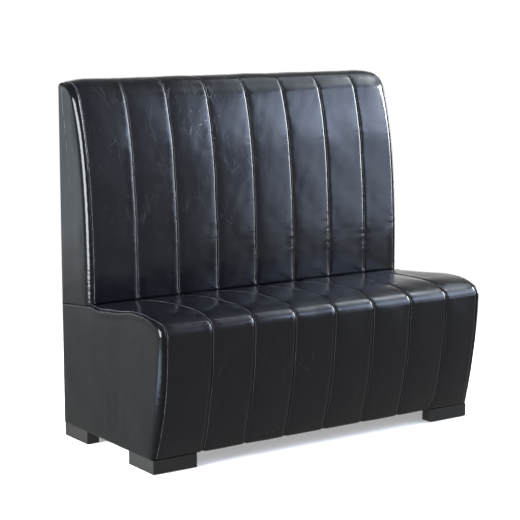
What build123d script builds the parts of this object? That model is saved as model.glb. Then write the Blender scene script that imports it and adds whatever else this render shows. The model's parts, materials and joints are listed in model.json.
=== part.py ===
"""Restaurant booth bench: an upholstered seat base on four corner legs, with an upholstered back unit on top.

It seats two. The front, the seat and the back rest are sewn in upright padded channels, the ends are plain
covers that wrap round on to the front, and everything stands on L-shaped corner legs of two mitred boards.

Frame: +X runs along the bench, -Y is the front that people sit at, +Z is up. The origin is on the floor, at
the middle of the bench's length and depth. All sizes are in millimetres.
"""

import os
from math import asin, cos, degrees, radians, sin, sqrt, tan

from build123d import *

# Overall size
overall_width = 1200.0
overall_depth = 600.0
overall_height = 1120.0

# Channelled upholstery: padded strips sewn side by side. The end ones are measured from the bench's ends
channel_count = 8
left_channel_width = 171.0
right_channel_width = 143.0
channel_thickness = 14.0
channel_crown_radius = 700.0
channel_shoulder_radius = 14.0
channel_shoulder_angle = 45.0

# Side covers: a padded sheet over each end, wrapped round on to the front and top as far as the outer seam
cover_thickness = 6.0
cover_wrap = 15.0
cover_inset = 3.0
cover_edge_radius = 12.0
cover_lap = 4.0

# Seat: side curve of the cushion's crown, from the back rest over the lip and down the raked front
seat_height = 466.0
seat_crown_radius = 1600.0
seat_flat = 35.0
seat_pitch = 5.0
lip_reach = 125.0
lip_drop = 51.0
lip_turn = 20.0
front_setback = 59.0
seat_foam_depth = 85.0
front_foam_top = 20.0
front_foam_bottom = 4.0
foam_end_bevel = 18.0

# Back rest: side curve of its front face, from the seat up and over the top
lumbar_rise = 37.0
lower_bow_angle = 6.5
upper_bow_angle = 18.0
bow_split_share = 0.6655
top_roll_radius = 85.0
top_flat = 12.0
rear_roll_radius = 20.0
back_foam_thickness = 34.0

# Boards and rails
panel_thickness = 18.0
deck_thickness = 15.0
front_board_thickness = 12.0
riser_thickness = 18.0
rail_thickness = 22.0
rail_width = 90.0
top_rail_height = 45.0
back_skin_thickness = 4.0
block_size = 45.0
block_height = 120.0
rear_sheet_thickness = 2.0
dust_cover_thickness = 2.0

# Legs, glides and the screws that hold the legs
ground_clearance = 44.0
leg_front_length = 150.0
leg_side_length = 142.0
leg_thickness = 43.0
leg_inset = 1.0
leg_edge_radius = 1.5
glide_thickness = 2.5
glide_radius = 10.0
glide_edge_radius = 1.0
glide_pin_radius = 1.2
glide_pin_length = 12.0
glide_from_face = 16.0
glide_near = 36.0
glide_end_margin = 15.0
leg_screw_radius = 2.5
leg_screw_head_radius = 5.0
leg_screw_head_height = 4.0
leg_screw_recess = 18.0
leg_screw_bite = 18.0
leg_screw_from_face = 30.0
leg_screw_near = 60.0
leg_screw_far = 118.0

# Screws that hold the deck down
deck_screw_radius = 2.0
deck_screw_head_radius = 4.0
deck_screw_head_height = 2.5
deck_screw_length = 42.0
deck_screws_per_panel = 3

# Bolts that hold the back unit to the base
bolts_per_bay = 2
bolt_radius = 4.0
bolt_head_radius = 7.5
bolt_head_height = 5.3
bolt_spare_thread = 4.0
washer_radius = 12.0
washer_thickness = 2.0
tee_nut_flange_radius = 11.0
tee_nut_flange_thickness = 1.5
tee_nut_barrel_radius = 5.5
tee_nut_barrel_length = 12.0

# Clearances, and the length by which a cutting or trimmed shape runs past
soft_gap = 0.3
hole_gap = 0.2
overrun = 20.0

# Places worked out from the sizes above
half_width = overall_width / 2
rear_y = overall_depth / 2
lip_y = -rear_y
frame_half = half_width - cover_thickness
channel_half = half_width - cover_wrap
inner_channel_width = (overall_width - left_channel_width - right_channel_width) / (channel_count - 2)
rear_sheet_y = rear_y - rear_sheet_thickness
inner_rear_y = rear_y - channel_thickness
base_bottom = ground_clearance
frame_bottom = base_bottom + dust_cover_thickness
rail_top = frame_bottom + rail_thickness
rib_x = overall_width / 6

# Seams: the outermost ones join the side covers, and the ones between divide the width
first_seam_x = left_channel_width - half_width
inner_seam_xs = [first_seam_x + inner_channel_width * number for number in range(channel_count - 1)]
seam_xs = [-channel_half, *inner_seam_xs, channel_half]
channel_spans = list(zip(seam_xs, seam_xs[1:]))

# Seat curve: a flat top, two arcs over the lip, one long arc down the front, and one back to the back rest
lip_z = seat_height - lip_drop
lip_sin = sin(radians(lip_turn))
lip_cos = cos(radians(lip_turn))
lip_rate = (1 - lip_cos) / lip_sin
lip_small_radius = (lip_drop - lip_reach * lip_rate) / (lip_cos - (1 - lip_sin) * lip_rate)
lip_large_radius = (lip_reach - lip_small_radius * (1 - lip_sin)) / lip_sin
flat_front_y = lip_y + lip_reach
flat_rear_y = flat_front_y + seat_flat
front_height = lip_z - base_bottom
front_radius = (front_setback**2 + front_height**2) / (2 * front_setback)
front_turn = degrees(asin(front_height / front_radius))
front_run_past = degrees(overrun / front_radius)
lip_small_centre = (lip_y + lip_small_radius, lip_z)
lip_large_centre = (flat_front_y, seat_height - lip_large_radius)
seat_centre = (flat_rear_y, seat_height - seat_crown_radius)
front_centre = (lip_y + front_radius, lip_z)
leg_front_y = lip_y + front_setback
leg_rear_y = rear_y - leg_inset

# Back curve: a short upright, two bowed arcs, the top roll, a flat top and the roll down the rear
lower_sin = sin(radians(lower_bow_angle))
lower_cos = cos(radians(lower_bow_angle))
upper_sin = sin(radians(upper_bow_angle))
upper_cos = cos(radians(upper_bow_angle))
roll_centre = (rear_y - rear_roll_radius - top_flat, overall_height - top_roll_radius)
roll_start_z = roll_centre[1] + top_roll_radius * upper_sin
rear_roll_centre = (rear_y - rear_roll_radius, overall_height - rear_roll_radius)
channel_end_z = rear_roll_centre[1]


def seat_top(y, inset=0):
    """Height of the seat's crown curve at depth y, moved in by inset."""
    return seat_centre[1] + sqrt((seat_crown_radius - inset) ** 2 - (y - flat_rear_y) ** 2)


def bow_above(start_z):
    """Radii of the two bowed arcs that rise from start_z to the top roll, and how far they lean back."""
    rise = roll_start_z - start_z
    lower_radius = bow_split_share * rise / lower_sin
    upper_radius = (1 - bow_split_share) * rise / (upper_sin - lower_sin)
    lean = lower_radius * (1 - lower_cos) + upper_radius * (lower_cos - upper_cos)
    return lower_radius, upper_radius, lean


lumbar_z = seat_height + lumbar_rise
lower_bow_radius, upper_bow_radius, bow_lean = bow_above(lumbar_z)
back_front_y = roll_centre[0] - top_roll_radius * upper_cos - bow_lean
joint_front_z = seat_top(back_front_y, cover_inset)
bow_split_y = back_front_y + lower_bow_radius * (1 - lower_cos)
bow_split_z = lumbar_z + lower_bow_radius * lower_sin
lower_bow_centre = (back_front_y + lower_bow_radius, lumbar_z)
upper_bow_centre = (bow_split_y + upper_bow_radius * lower_cos, bow_split_z - upper_bow_radius * lower_sin)

# Sloping planes: the joint between the two units, and the deck that carries the seat foam
slope = tan(radians(seat_pitch))
slope_cos = cos(radians(seat_pitch))
slope_normal = (0, sin(radians(seat_pitch)), slope_cos)
joint_plane = Plane(origin=(0, back_front_y, joint_front_z), x_dir=(1, 0, 0), z_dir=slope_normal)
deck_underside = seat_foam_depth + deck_thickness
riser_back_y = back_front_y + riser_thickness


def joint_z(y, below=0):
    """Height at depth y of the joint plane, or of the parallel plane that lies below it."""
    return joint_front_z - (y - back_front_y) * slope - below / slope_cos


# Front board: its outer face leans out from the bottom rail to just under the lip
front_backing_y = front_centre[0] - sqrt((front_radius - channel_thickness) ** 2 - front_height**2)
board_bottom_y = front_backing_y + front_foam_bottom
board_top_y = lip_y + channel_thickness + front_foam_top
board_lean = (board_bottom_y - board_top_y) / (lip_z - rail_top)


def board_y(z, behind=0):
    """Depth at height z of the front board's outer face, or of a parallel face that lies behind it."""
    return board_bottom_y - (z - rail_top) * board_lean + behind * sqrt(1 + board_lean**2)


def board_meets(below, behind=0):
    """Point where the front board's face, or one behind it, meets a plane parallel to the joint plane."""
    start_y = board_y(0, behind)
    z = joint_z(start_y, below) / (1 - board_lean * slope)
    return board_y(z, behind), z


def draw_seat_curve(inset):
    """Seat curve in depth and height, from behind the back rest to below the base, moved in by inset."""
    rear_turn = degrees(asin((rear_y - flat_rear_y) / (seat_crown_radius - inset)))
    CenterArc(seat_centre, seat_crown_radius - inset, 90 - rear_turn, rear_turn)
    Line((flat_rear_y, seat_height - inset), (flat_front_y, seat_height - inset))
    CenterArc(lip_large_centre, lip_large_radius - inset, 90, lip_turn)
    CenterArc(lip_small_centre, lip_small_radius - inset, 90 + lip_turn, 90 - lip_turn)
    CenterArc(front_centre, front_radius - inset, 180, front_turn + front_run_past)


def draw_back_face(inset):
    """Top roll, bowed arcs and upright of the back curve, down to below the joint, moved in by inset."""
    upper_turn = upper_bow_angle - lower_bow_angle
    CenterArc(roll_centre, top_roll_radius - inset, 90, 90 - upper_bow_angle)
    CenterArc(upper_bow_centre, upper_bow_radius - inset, 180 - upper_bow_angle, upper_turn)
    CenterArc(lower_bow_centre, lower_bow_radius - inset, 180 - lower_bow_angle, lower_bow_angle)
    Line((back_front_y + inset, lumbar_z), (back_front_y + inset, joint_front_z - overrun))


def draw_back_curve(inset):
    """Whole back curve: the roll down the rear, the flat top, and the face down to below the joint."""
    CenterArc(rear_roll_centre, rear_roll_radius - inset, 0, 90)
    Line((rear_roll_centre[0], overall_height - inset), (roll_centre[0], overall_height - inset))
    draw_back_face(inset)


def polygon(*points, mode=Mode.ADD):
    """Straight-sided face in the open sketch."""
    Polygon(*points, align=None, mode=mode)


def seat_region(inset):
    """Face of everything inside the seat curve, back to the back rest and down to the base's underside."""
    angle = radians(180 + front_turn + front_run_past)
    end_y = front_centre[0] + (front_radius - inset) * cos(angle)
    end_z = front_centre[1] + (front_radius - inset) * sin(angle)
    with BuildSketch() as region:
        with BuildLine():
            draw_seat_curve(inset)
            Polyline((end_y, end_z), (rear_y, end_z), (rear_y, seat_top(rear_y, inset)))
        make_face()
        polygon(
            (lip_y - overrun, base_bottom),
            (back_front_y, base_bottom),
            (back_front_y, seat_height),
            (lip_y - overrun, seat_height),
            mode=Mode.INTERSECT,
        )
    return region.sketch


def back_region(inset, back_y, corner_radius=0):
    """Face of all inside the back curve and above the joint, with a square or rounded rear top corner."""
    low_z = joint_front_z - overrun
    top_z = overall_height - inset
    with BuildSketch() as region:
        with BuildLine():
            draw_back_face(inset)
            Polyline((back_front_y + inset, low_z), (back_y, low_z), (back_y, top_z), (roll_centre[0], top_z))
        make_face()
        if corner_radius:
            fillet(region.vertices().sort_by(lambda corner: corner.X + corner.Y)[-1], corner_radius)
        above_joint = [(back_front_y, joint_z(back_front_y)), (rear_y, joint_z(rear_y))]
        polygon(*above_joint, (rear_y, overall_height), (back_front_y, overall_height), mode=Mode.INTERSECT)
    return region.sketch


def draw_channel_section(width):
    """Cross-section of one padded channel: flat back, low crown, and shoulders that dip to the seams."""
    half = width / 2
    shoulder = radians(channel_shoulder_angle)
    inner_radius = channel_crown_radius - channel_shoulder_radius
    crown = asin((half - channel_shoulder_radius * sin(shoulder)) / inner_radius)
    crown_centre = (0, channel_thickness - channel_crown_radius)
    shoulder_x = inner_radius * sin(crown)
    shoulder_y = crown_centre[1] + inner_radius * cos(crown)
    seam_y = shoulder_y + channel_shoulder_radius * cos(shoulder)
    crown_angle = degrees(crown)
    shoulder_turn = channel_shoulder_angle - crown_angle
    CenterArc(crown_centre, channel_crown_radius, 90 - crown_angle, 2 * crown_angle)
    CenterArc((-shoulder_x, shoulder_y), channel_shoulder_radius, 90 + crown_angle, shoulder_turn)
    CenterArc((shoulder_x, shoulder_y), channel_shoulder_radius, 90 - channel_shoulder_angle, shoulder_turn)
    Polyline((-half, seam_y), (-half, 0), (half, 0), (half, seam_y))


def draw_rim_section():
    """Cross-section of a left cover's rim: rounded outer edge, wrapped over as far as the outer seam."""
    top = channel_thickness - cover_inset
    Polyline(
        (cover_edge_radius, top),
        (cover_wrap, top),
        (cover_wrap, 0),
        (cover_thickness, 0),
        (cover_thickness, -cover_lap),
        (0, -cover_lap),
        (0, top - cover_edge_radius),
    )
    CenterArc((cover_edge_radius, top - cover_edge_radius), cover_edge_radius, 90, 90)


def sweep_strip(x, draw_path, draw_section):
    """Sweeps a section along a path that lies in the plane across the bench at x."""
    with BuildPart() as strip:
        with BuildLine(Plane.YZ.offset(x)) as path:
            draw_path(channel_thickness)
        with BuildSketch(Plane(origin=path.line @ 0, x_dir=(1, 0, 0), z_dir=path.line % 0)):
            with BuildLine():
                draw_section()
            make_face()
        sweep(path=path.line)
    return strip.part


def run_along(region, left, right):
    """Solid of one cross-section face, from left to right along the bench."""
    with BuildPart() as piece:
        with BuildSketch(Plane.YZ.offset(left)):
            add(region)
        extrude(amount=right - left)
    return piece.part


def bevelled_ends(region):
    """Full-width solid of a face with curved edges, which are bevelled all along at both ends."""
    with BuildPart() as piece:
        add(run_along(region, -frame_half, frame_half))
        end_edges = [edge for face in piece.faces().filter_by(Axis.X) for edge in face.edges()]
        chamfer([edge for edge in end_edges if edge.geom_type == GeomType.CIRCLE], foam_end_bevel)
    return piece.part


def region_of(*points):
    """Straight-sided cross-section face of its own."""
    with BuildSketch() as region:
        polygon(*points)
    return region.sketch


def save(part, name):
    """Names a finished piece and writes it as one file."""
    part.label = name
    export_step(part, f"parts/{name}.step")


def save_pair(part, name):
    """Writes a piece of the left end, and its mirror image at the right end."""
    save(part, f"left_{name}")
    save(mirror(part, about=Plane.YZ), f"right_{name}")


os.makedirs("parts", exist_ok=True)

# Seat channels: swept along the seat curve, cut off at the back rest and at the underside of the base
for number, (left, right) in enumerate(channel_spans, 1):
    with BuildPart() as seat_channel:
        add(sweep_strip((left + right) / 2, draw_seat_curve, lambda: draw_channel_section(right - left)))
        split(bisect_by=Plane.XZ.offset(soft_gap - back_front_y), keep=Keep.TOP)
        split(bisect_by=Plane.XY.offset(base_bottom), keep=Keep.TOP)
    save(seat_channel.part, f"seat_channel_{number}")

# Back channels: swept over the top of the back unit and cut off along the joint
for number, (left, right) in enumerate(channel_spans, 1):
    with BuildPart() as back_channel:
        add(sweep_strip((left + right) / 2, draw_back_curve, lambda: draw_channel_section(right - left)))
        split(bisect_by=joint_plane, keep=Keep.TOP)
    save(back_channel.part, f"back_channel_{number}")

# Side covers of the base: a rim round the lip and front, and a flat sheet inside it and under the back unit
with BuildPart() as base_cover:
    add(sweep_strip(-half_width, draw_seat_curve, draw_rim_section))
    split(bisect_by=Plane.XZ.offset(-back_front_y), keep=Keep.TOP)
    split(bisect_by=Plane.XY.offset(base_bottom), keep=Keep.TOP)
    with BuildSketch(Plane.YZ.offset(-half_width)):
        add(seat_region(channel_thickness + cover_lap))
        polygon(
            (back_front_y, base_bottom),
            (rear_sheet_y, base_bottom),
            (rear_sheet_y, joint_z(rear_sheet_y)),
            (back_front_y, joint_front_z),
        )
    extrude(amount=cover_thickness)
save_pair(base_cover.part, "base_cover")

# Side covers of the back unit: a rim up the face and over the top, and a flat sheet inside it
with BuildPart() as back_cover:
    add(sweep_strip(-half_width, draw_back_curve, draw_rim_section))
    split(bisect_by=joint_plane, keep=Keep.TOP)
    with BuildSketch(Plane.YZ.offset(-half_width)):
        sheet_inset = channel_thickness + cover_lap
        add(back_region(sheet_inset, rear_y - sheet_inset, rear_roll_radius - sheet_inset))
        polygon(
            (rear_roll_centre[0], joint_z(rear_roll_centre[0])),
            (rear_sheet_y, joint_z(rear_sheet_y)),
            (rear_sheet_y, channel_end_z),
            (rear_roll_centre[0], channel_end_z),
        )
    extrude(amount=cover_thickness)
save_pair(back_cover.part, "back_cover")

# Rear covers: thin sheets, one on each unit
base_rear_cover = region_of(
    (rear_sheet_y, base_bottom),
    (rear_y, base_bottom),
    (rear_y, joint_z(rear_y)),
    (rear_sheet_y, joint_z(rear_sheet_y)),
)
back_rear_cover = region_of(
    (rear_sheet_y, joint_z(rear_sheet_y)),
    (rear_y, joint_z(rear_y)),
    (rear_y, channel_end_z),
    (rear_sheet_y, channel_end_z),
)
save(run_along(base_rear_cover, -half_width, half_width), "base_rear_cover")
save(run_along(back_rear_cover, -half_width, half_width), "back_rear_cover")

# Foam: a slab on the deck that rolls over the lip, a thin sheet down the front, a curved sheet on the back.
# The slab's and the back sheet's ends are bevelled, because the covers are drawn down over them
with BuildSketch() as seat_foam_region:
    add(seat_region(channel_thickness))
    polygon(
        (lip_y, joint_z(lip_y, seat_foam_depth)),
        (back_front_y, joint_z(back_front_y, seat_foam_depth)),
        (back_front_y, seat_height),
        (lip_y, seat_height),
        mode=Mode.INTERSECT,
    )
with BuildSketch() as front_foam_region:
    add(seat_region(channel_thickness))
    polygon(
        (lip_y, base_bottom),
        (board_bottom_y, base_bottom),
        (board_bottom_y, rail_top),
        board_meets(seat_foam_depth),
        (lip_y, joint_z(lip_y, seat_foam_depth)),
        mode=Mode.INTERSECT,
    )
with BuildSketch() as back_foam_region:
    add(back_region(channel_thickness, inner_rear_y, rear_roll_radius - channel_thickness))
    add(back_region(channel_thickness + back_foam_thickness, inner_rear_y), mode=Mode.SUBTRACT)
with BuildPart() as seat_foam:
    add(run_along(seat_foam_region.sketch, -frame_half, frame_half))
    add(bevelled_ends(seat_region(channel_thickness)), mode=Mode.INTERSECT)
with BuildPart() as back_foam:
    add(run_along(back_foam_region.sketch, -frame_half, frame_half))
    add(bevelled_ends(back_region(channel_thickness, rear_y)), mode=Mode.INTERSECT)
save(seat_foam.part, "seat_foam")
save(run_along(front_foam_region.sketch, -frame_half, frame_half), "front_foam")
save(back_foam.part, "back_foam")

# Cross-sections of the base's boards
front_board_region = region_of(
    (board_bottom_y, rail_top),
    board_meets(deck_underside),
    board_meets(deck_underside, front_board_thickness),
    (board_y(rail_top, front_board_thickness), rail_top),
)
rear_board_region = region_of(
    (inner_rear_y, frame_bottom),
    (rear_sheet_y, frame_bottom),
    (rear_sheet_y, joint_z(rear_sheet_y)),
    (inner_rear_y, joint_z(inner_rear_y)),
)
deck_region = region_of(
    board_meets(deck_underside),
    (riser_back_y, joint_z(riser_back_y, deck_underside)),
    (riser_back_y, joint_z(riser_back_y, seat_foam_depth)),
    board_meets(seat_foam_depth),
)
riser_region = region_of(
    (back_front_y, joint_z(back_front_y, seat_foam_depth)),
    (riser_back_y, joint_z(riser_back_y, seat_foam_depth)),
    (riser_back_y, joint_z(riser_back_y, deck_thickness)),
    (back_front_y, joint_z(back_front_y, deck_thickness)),
)
bearer_region = region_of(
    (back_front_y, joint_z(back_front_y, deck_thickness)),
    (inner_rear_y, joint_z(inner_rear_y, deck_thickness)),
    (inner_rear_y, joint_z(inner_rear_y)),
    (back_front_y, joint_z(back_front_y)),
)
base_panel_region = region_of(
    (board_y(rail_top, front_board_thickness), rail_top),
    (inner_rear_y, rail_top),
    (inner_rear_y, joint_z(inner_rear_y, deck_thickness)),
    (riser_back_y, joint_z(riser_back_y, deck_thickness)),
    (riser_back_y, joint_z(riser_back_y, deck_underside)),
    board_meets(deck_underside, front_board_thickness),
)
save(run_along(front_board_region, -frame_half, frame_half), "base_front_board")
save(run_along(rear_board_region, -frame_half, frame_half), "base_rear_board")
save(run_along(riser_region, -frame_half, frame_half), "seat_riser")

# Screws that go down through the deck: one row over each panel and rib
panel_half = panel_thickness / 2
panel_xs = [panel_half - frame_half, -rib_x, rib_x, frame_half - panel_half]
deck_front_y = board_meets(seat_foam_depth)[0]
deck_middle_y = (riser_back_y + deck_front_y) / 2
deck_middle = (0, deck_middle_y, joint_z(deck_middle_y, seat_foam_depth))
deck_screw_plane = Plane(origin=deck_middle, x_dir=(1, 0, 0), z_dir=slope_normal)
deck_screw_pitch = (riser_back_y - deck_front_y) / slope_cos / (deck_screws_per_panel + 1)
deck_screw_first = -deck_screw_pitch * (deck_screws_per_panel - 1) / 2
deck_screw_rows = [deck_screw_first + deck_screw_pitch * row for row in range(deck_screws_per_panel)]
deck_screw_points = [(x, row) for x in panel_xs for row in deck_screw_rows]


def add_rods(plane, points, radius, length, mode=Mode.ADD):
    """Round rods that run down from a plane at each point, in the open part."""
    with Locations(plane):
        with Locations(*points):
            Cylinder(radius, length, align=(Align.CENTER, Align.CENTER, Align.MAX), mode=mode)


with BuildPart() as deck_screws:
    add_rods(deck_screw_plane, deck_screw_points, deck_screw_radius, deck_screw_length)
    add_rods(deck_screw_plane, deck_screw_points, deck_screw_head_radius, deck_screw_head_height)
with BuildPart() as deck_screw_holes:
    add_rods(deck_screw_plane, deck_screw_points, deck_screw_radius + hole_gap, deck_screw_length)
    add_rods(deck_screw_plane, deck_screw_points, deck_screw_head_radius + hole_gap, deck_screw_head_height)
save(deck_screws.part, "deck_screws")

with BuildPart() as seat_deck:
    add(run_along(deck_region, -frame_half, frame_half))
    add(deck_screw_holes.part, mode=Mode.SUBTRACT)
save(seat_deck.part, "seat_deck")

# Bolts that join the two units: head and washer under the bearer, nut let into the back unit's bottom rail
bay_edges = [-frame_half, -rib_x, rib_x, frame_half]
bolt_xs = [
    low + (high - low) * (step + 1) / (bolts_per_bay + 1)
    for low, high in zip(bay_edges, bay_edges[1:])
    for step in range(bolts_per_bay)
]
bolt_row = (riser_back_y + inner_rear_y - 2 * back_front_y) / 2 / slope_cos
bolt_points = [(x, bolt_row) for x in bolt_xs]
bearer_underside = joint_plane.offset(-deck_thickness)
bottom_rail_top = joint_plane.offset(rail_thickness)
washer_underside = joint_plane.offset(-deck_thickness - washer_thickness)
bolt_end = rail_thickness + tee_nut_flange_thickness + bolt_spare_thread
bolt_length = deck_thickness + washer_thickness + bolt_end

with BuildPart() as joining_bolts:
    add_rods(joint_plane.offset(bolt_end), bolt_points, bolt_radius, bolt_length)
    add_rods(washer_underside, bolt_points, bolt_head_radius, bolt_head_height)
with BuildPart() as joining_washers:
    add_rods(bearer_underside, bolt_points, washer_radius, washer_thickness)
    add_rods(bearer_underside, bolt_points, bolt_radius + hole_gap, washer_thickness, mode=Mode.SUBTRACT)
with BuildPart() as joining_tee_nuts:
    flange_top = bottom_rail_top.offset(tee_nut_flange_thickness)
    nut_length = tee_nut_flange_thickness + tee_nut_barrel_length
    add_rods(flange_top, bolt_points, tee_nut_flange_radius, tee_nut_flange_thickness)
    add_rods(flange_top, bolt_points, tee_nut_barrel_radius, nut_length)
    add_rods(flange_top, bolt_points, bolt_radius + hole_gap, nut_length, mode=Mode.SUBTRACT)
save(joining_bolts.part, "joining_bolts")
save(joining_washers.part, "joining_washers")
save(joining_tee_nuts.part, "joining_tee_nuts")

with BuildPart() as back_bearer:
    add(run_along(bearer_region, -frame_half, frame_half))
    add_rods(joint_plane, bolt_points, bolt_radius + hole_gap, deck_thickness, mode=Mode.SUBTRACT)
save(back_bearer.part, "back_bearer")

# End panels and ribs of the base, with holes for the deck screws
base_panels = {
    "left_base_end_panel": -frame_half,
    "left_base_rib": -rib_x - panel_half,
    "right_base_rib": rib_x - panel_half,
    "right_base_end_panel": frame_half - panel_thickness,
}
for name, left in base_panels.items():
    with BuildPart() as base_panel:
        add(run_along(base_panel_region, left, left + panel_thickness))
        add(deck_screw_holes.part, mode=Mode.SUBTRACT)
    save(base_panel.part, name)

# Glued blocks in the four lower corners of the base
front_block_region = region_of(
    (board_y(rail_top, front_board_thickness), rail_top),
    (board_y(rail_top, front_board_thickness) + block_size, rail_top),
    (board_y(rail_top, front_board_thickness) + block_size, rail_top + block_height),
    (board_y(rail_top + block_height, front_board_thickness), rail_top + block_height),
)
rear_block_region = region_of(
    (inner_rear_y, rail_top),
    (inner_rear_y - block_size, rail_top),
    (inner_rear_y - block_size, rail_top + block_height),
    (inner_rear_y, rail_top + block_height),
)
block_left = panel_thickness - frame_half
with BuildPart() as corner_blocks:
    add(run_along(front_block_region, block_left, block_left + block_size))
    add(run_along(rear_block_region, block_left, block_left + block_size))
    mirror(about=Plane.YZ)
save(corner_blocks.part, "corner_blocks")

# Legs: two boards mitred at the outer corner. The front left one is drawn, and the rest are its mirror images
corner_x = leg_inset - half_width
corner_y = leg_front_y
leg_plane = Plane.XY.offset(glide_thickness)
leg_height = ground_clearance - glide_thickness
middle_of_legs = Plane.XZ.offset(-(leg_front_y + leg_rear_y) / 2)
screw_points = [
    (corner_x + leg_screw_near, corner_y + leg_screw_from_face),
    (corner_x + leg_screw_far, corner_y + leg_screw_from_face),
    (corner_x + leg_screw_from_face, corner_y + leg_screw_near),
    (corner_x + leg_screw_from_face, corner_y + leg_screw_far),
]
glide_points = [
    (corner_x + glide_near, corner_y + glide_from_face),
    (corner_x + leg_front_length - glide_end_margin, corner_y + glide_from_face),
    (corner_x + glide_from_face, corner_y + leg_side_length - glide_end_margin),
]
pin_top = Plane.XY.offset(glide_thickness + glide_pin_length)
shoulder = Plane.XY.offset(glide_thickness + leg_screw_recess)
screw_top = Plane.XY.offset(frame_bottom + leg_screw_bite)
shank_length = frame_bottom + leg_screw_bite - glide_thickness - leg_screw_recess


def leg_board(*points):
    """One mitred board of the front left leg, with its screw and glide pin holes and eased upright edges."""
    with BuildPart() as board:
        with BuildSketch(leg_plane):
            polygon(*points)
        extrude(amount=leg_height)
        square_edges = [e for e in board.edges().filter_by(Axis.Z) if is_off_mitre((e @ 0).X, (e @ 0).Y)]
        fillet(square_edges, leg_edge_radius)
        head_hole_radius = leg_screw_head_radius + hole_gap
        add_rods(shoulder, screw_points, head_hole_radius, leg_screw_recess, mode=Mode.SUBTRACT)
        add_rods(screw_top, screw_points, leg_screw_radius + hole_gap, shank_length, mode=Mode.SUBTRACT)
        add_rods(pin_top, glide_points, glide_pin_radius + hole_gap, glide_pin_length, mode=Mode.SUBTRACT)
    return board.part


def is_off_mitre(x, y):
    """Whether a corner of the leg's plan lies away from the mitre line."""
    return abs((x - corner_x) - (y - corner_y)) > leg_edge_radius


def copy_to_corners(part):
    """The front left piece and its mirror images at the three other corners."""
    rear = mirror(part, about=middle_of_legs)
    return {
        "front_left": part,
        "rear_left": rear,
        "front_right": mirror(part, about=Plane.YZ),
        "rear_right": mirror(rear, about=Plane.YZ),
    }


outer = (corner_x, corner_y)
inner = (corner_x + leg_thickness, corner_y + leg_thickness)
front_end = corner_x + leg_front_length
side_end = corner_y + leg_side_length
front_leg_board = leg_board(outer, (front_end, corner_y), (front_end, inner[1]), inner)
side_leg_board = leg_board(outer, inner, (inner[0], side_end), (corner_x, side_end))
leg = Compound(children=[front_leg_board, side_leg_board])
for corner, part in copy_to_corners(leg).items():
    save(part, f"{corner}_leg")

with BuildPart() as leg_screw_set:
    add_rods(screw_top, screw_points, leg_screw_radius, shank_length)
    add_rods(shoulder, screw_points, leg_screw_head_radius, leg_screw_head_height)
with BuildPart() as glide_set:
    add_rods(leg_plane, glide_points, glide_radius, glide_thickness)
    fillet(glide_set.edges().filter_by(GeomType.CIRCLE).group_by(Axis.Z)[0], glide_edge_radius)
    add_rods(pin_top, glide_points, glide_pin_radius, glide_pin_length)
save(Compound(children=list(copy_to_corners(leg_screw_set.part).values())), "leg_screws")
save(Compound(children=list(copy_to_corners(glide_set.part).values())), "leg_glides")

# Bottom rails and the dust cover, drilled for the leg screws
with BuildPart() as drill_set:
    add_rods(screw_top, screw_points, leg_screw_radius + hole_gap, shank_length)
drills = list(copy_to_corners(drill_set.part).values())
front_rail_back_y = board_bottom_y + rail_width
rear_rail_front_y = inner_rear_y - rail_width
side_rail_depths = (front_rail_back_y, rear_rail_front_y)
rail_heights = (frame_bottom, rail_top)
full_width = (-frame_half, frame_half)
bottom_pieces = {
    "front_bottom_rail": (full_width, (board_bottom_y, front_rail_back_y), rail_heights),
    "rear_bottom_rail": (full_width, (rear_rail_front_y, inner_rear_y), rail_heights),
    "left_bottom_rail": ((-frame_half, rail_width - frame_half), side_rail_depths, rail_heights),
    "right_bottom_rail": ((frame_half - rail_width, frame_half), side_rail_depths, rail_heights),
    "dust_cover": (full_width, (board_bottom_y, rear_sheet_y), (base_bottom, frame_bottom)),
}
for name, ((left, right), (front, back), (low, high)) in bottom_pieces.items():
    with BuildPart() as bottom_piece:
        add(run_along(region_of((front, low), (back, low), (back, high), (front, high)), left, right))
        add(drills, mode=Mode.SUBTRACT)
    save(bottom_piece.part, name)

# Back unit: bottom rail on the joint, end panels, ribs, top rail, bent skin over front and top, rear board
skin_inset = channel_thickness + back_foam_thickness
frame_inset = skin_inset + back_skin_thickness
frame_top = overall_height - frame_inset
top_rail_bottom = frame_top - top_rail_height
above_rail = [(y, joint_z(y, -rail_thickness)) for y in (back_front_y, rear_y)]
below_rail = [(rear_y, joint_z(rear_y)), (back_front_y, joint_z(back_front_y))]

with BuildSketch() as back_skin_region:
    add(back_region(skin_inset, inner_rear_y))
    add(back_region(frame_inset, inner_rear_y), mode=Mode.SUBTRACT)
with BuildSketch() as bottom_rail_region:
    add(back_region(frame_inset, inner_rear_y))
    polygon(*above_rail, *below_rail, mode=Mode.INTERSECT)
with BuildSketch() as top_rail_region:
    add(back_region(frame_inset, inner_rear_y))
    polygon(
        (back_front_y, top_rail_bottom),
        (rear_y, top_rail_bottom),
        (rear_y, frame_top),
        (back_front_y, frame_top),
        mode=Mode.INTERSECT,
    )
with BuildSketch() as back_panel_region:
    add(back_region(frame_inset, inner_rear_y))
    polygon(*above_rail, (rear_y, top_rail_bottom), (back_front_y, top_rail_bottom), mode=Mode.INTERSECT)
back_board_region = region_of(
    (inner_rear_y, joint_z(inner_rear_y)),
    (rear_sheet_y, joint_z(rear_sheet_y)),
    (rear_sheet_y, channel_end_z),
    (inner_rear_y, channel_end_z),
)
save(run_along(back_skin_region.sketch, -frame_half, frame_half), "back_front_skin")
save(run_along(top_rail_region.sketch, -frame_half, frame_half), "back_top_rail")
save(run_along(back_board_region, -frame_half, frame_half), "back_rear_board")
for name, left in base_panels.items():
    save(run_along(back_panel_region.sketch, left, left + panel_thickness), name.replace("base", "back"))

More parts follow.
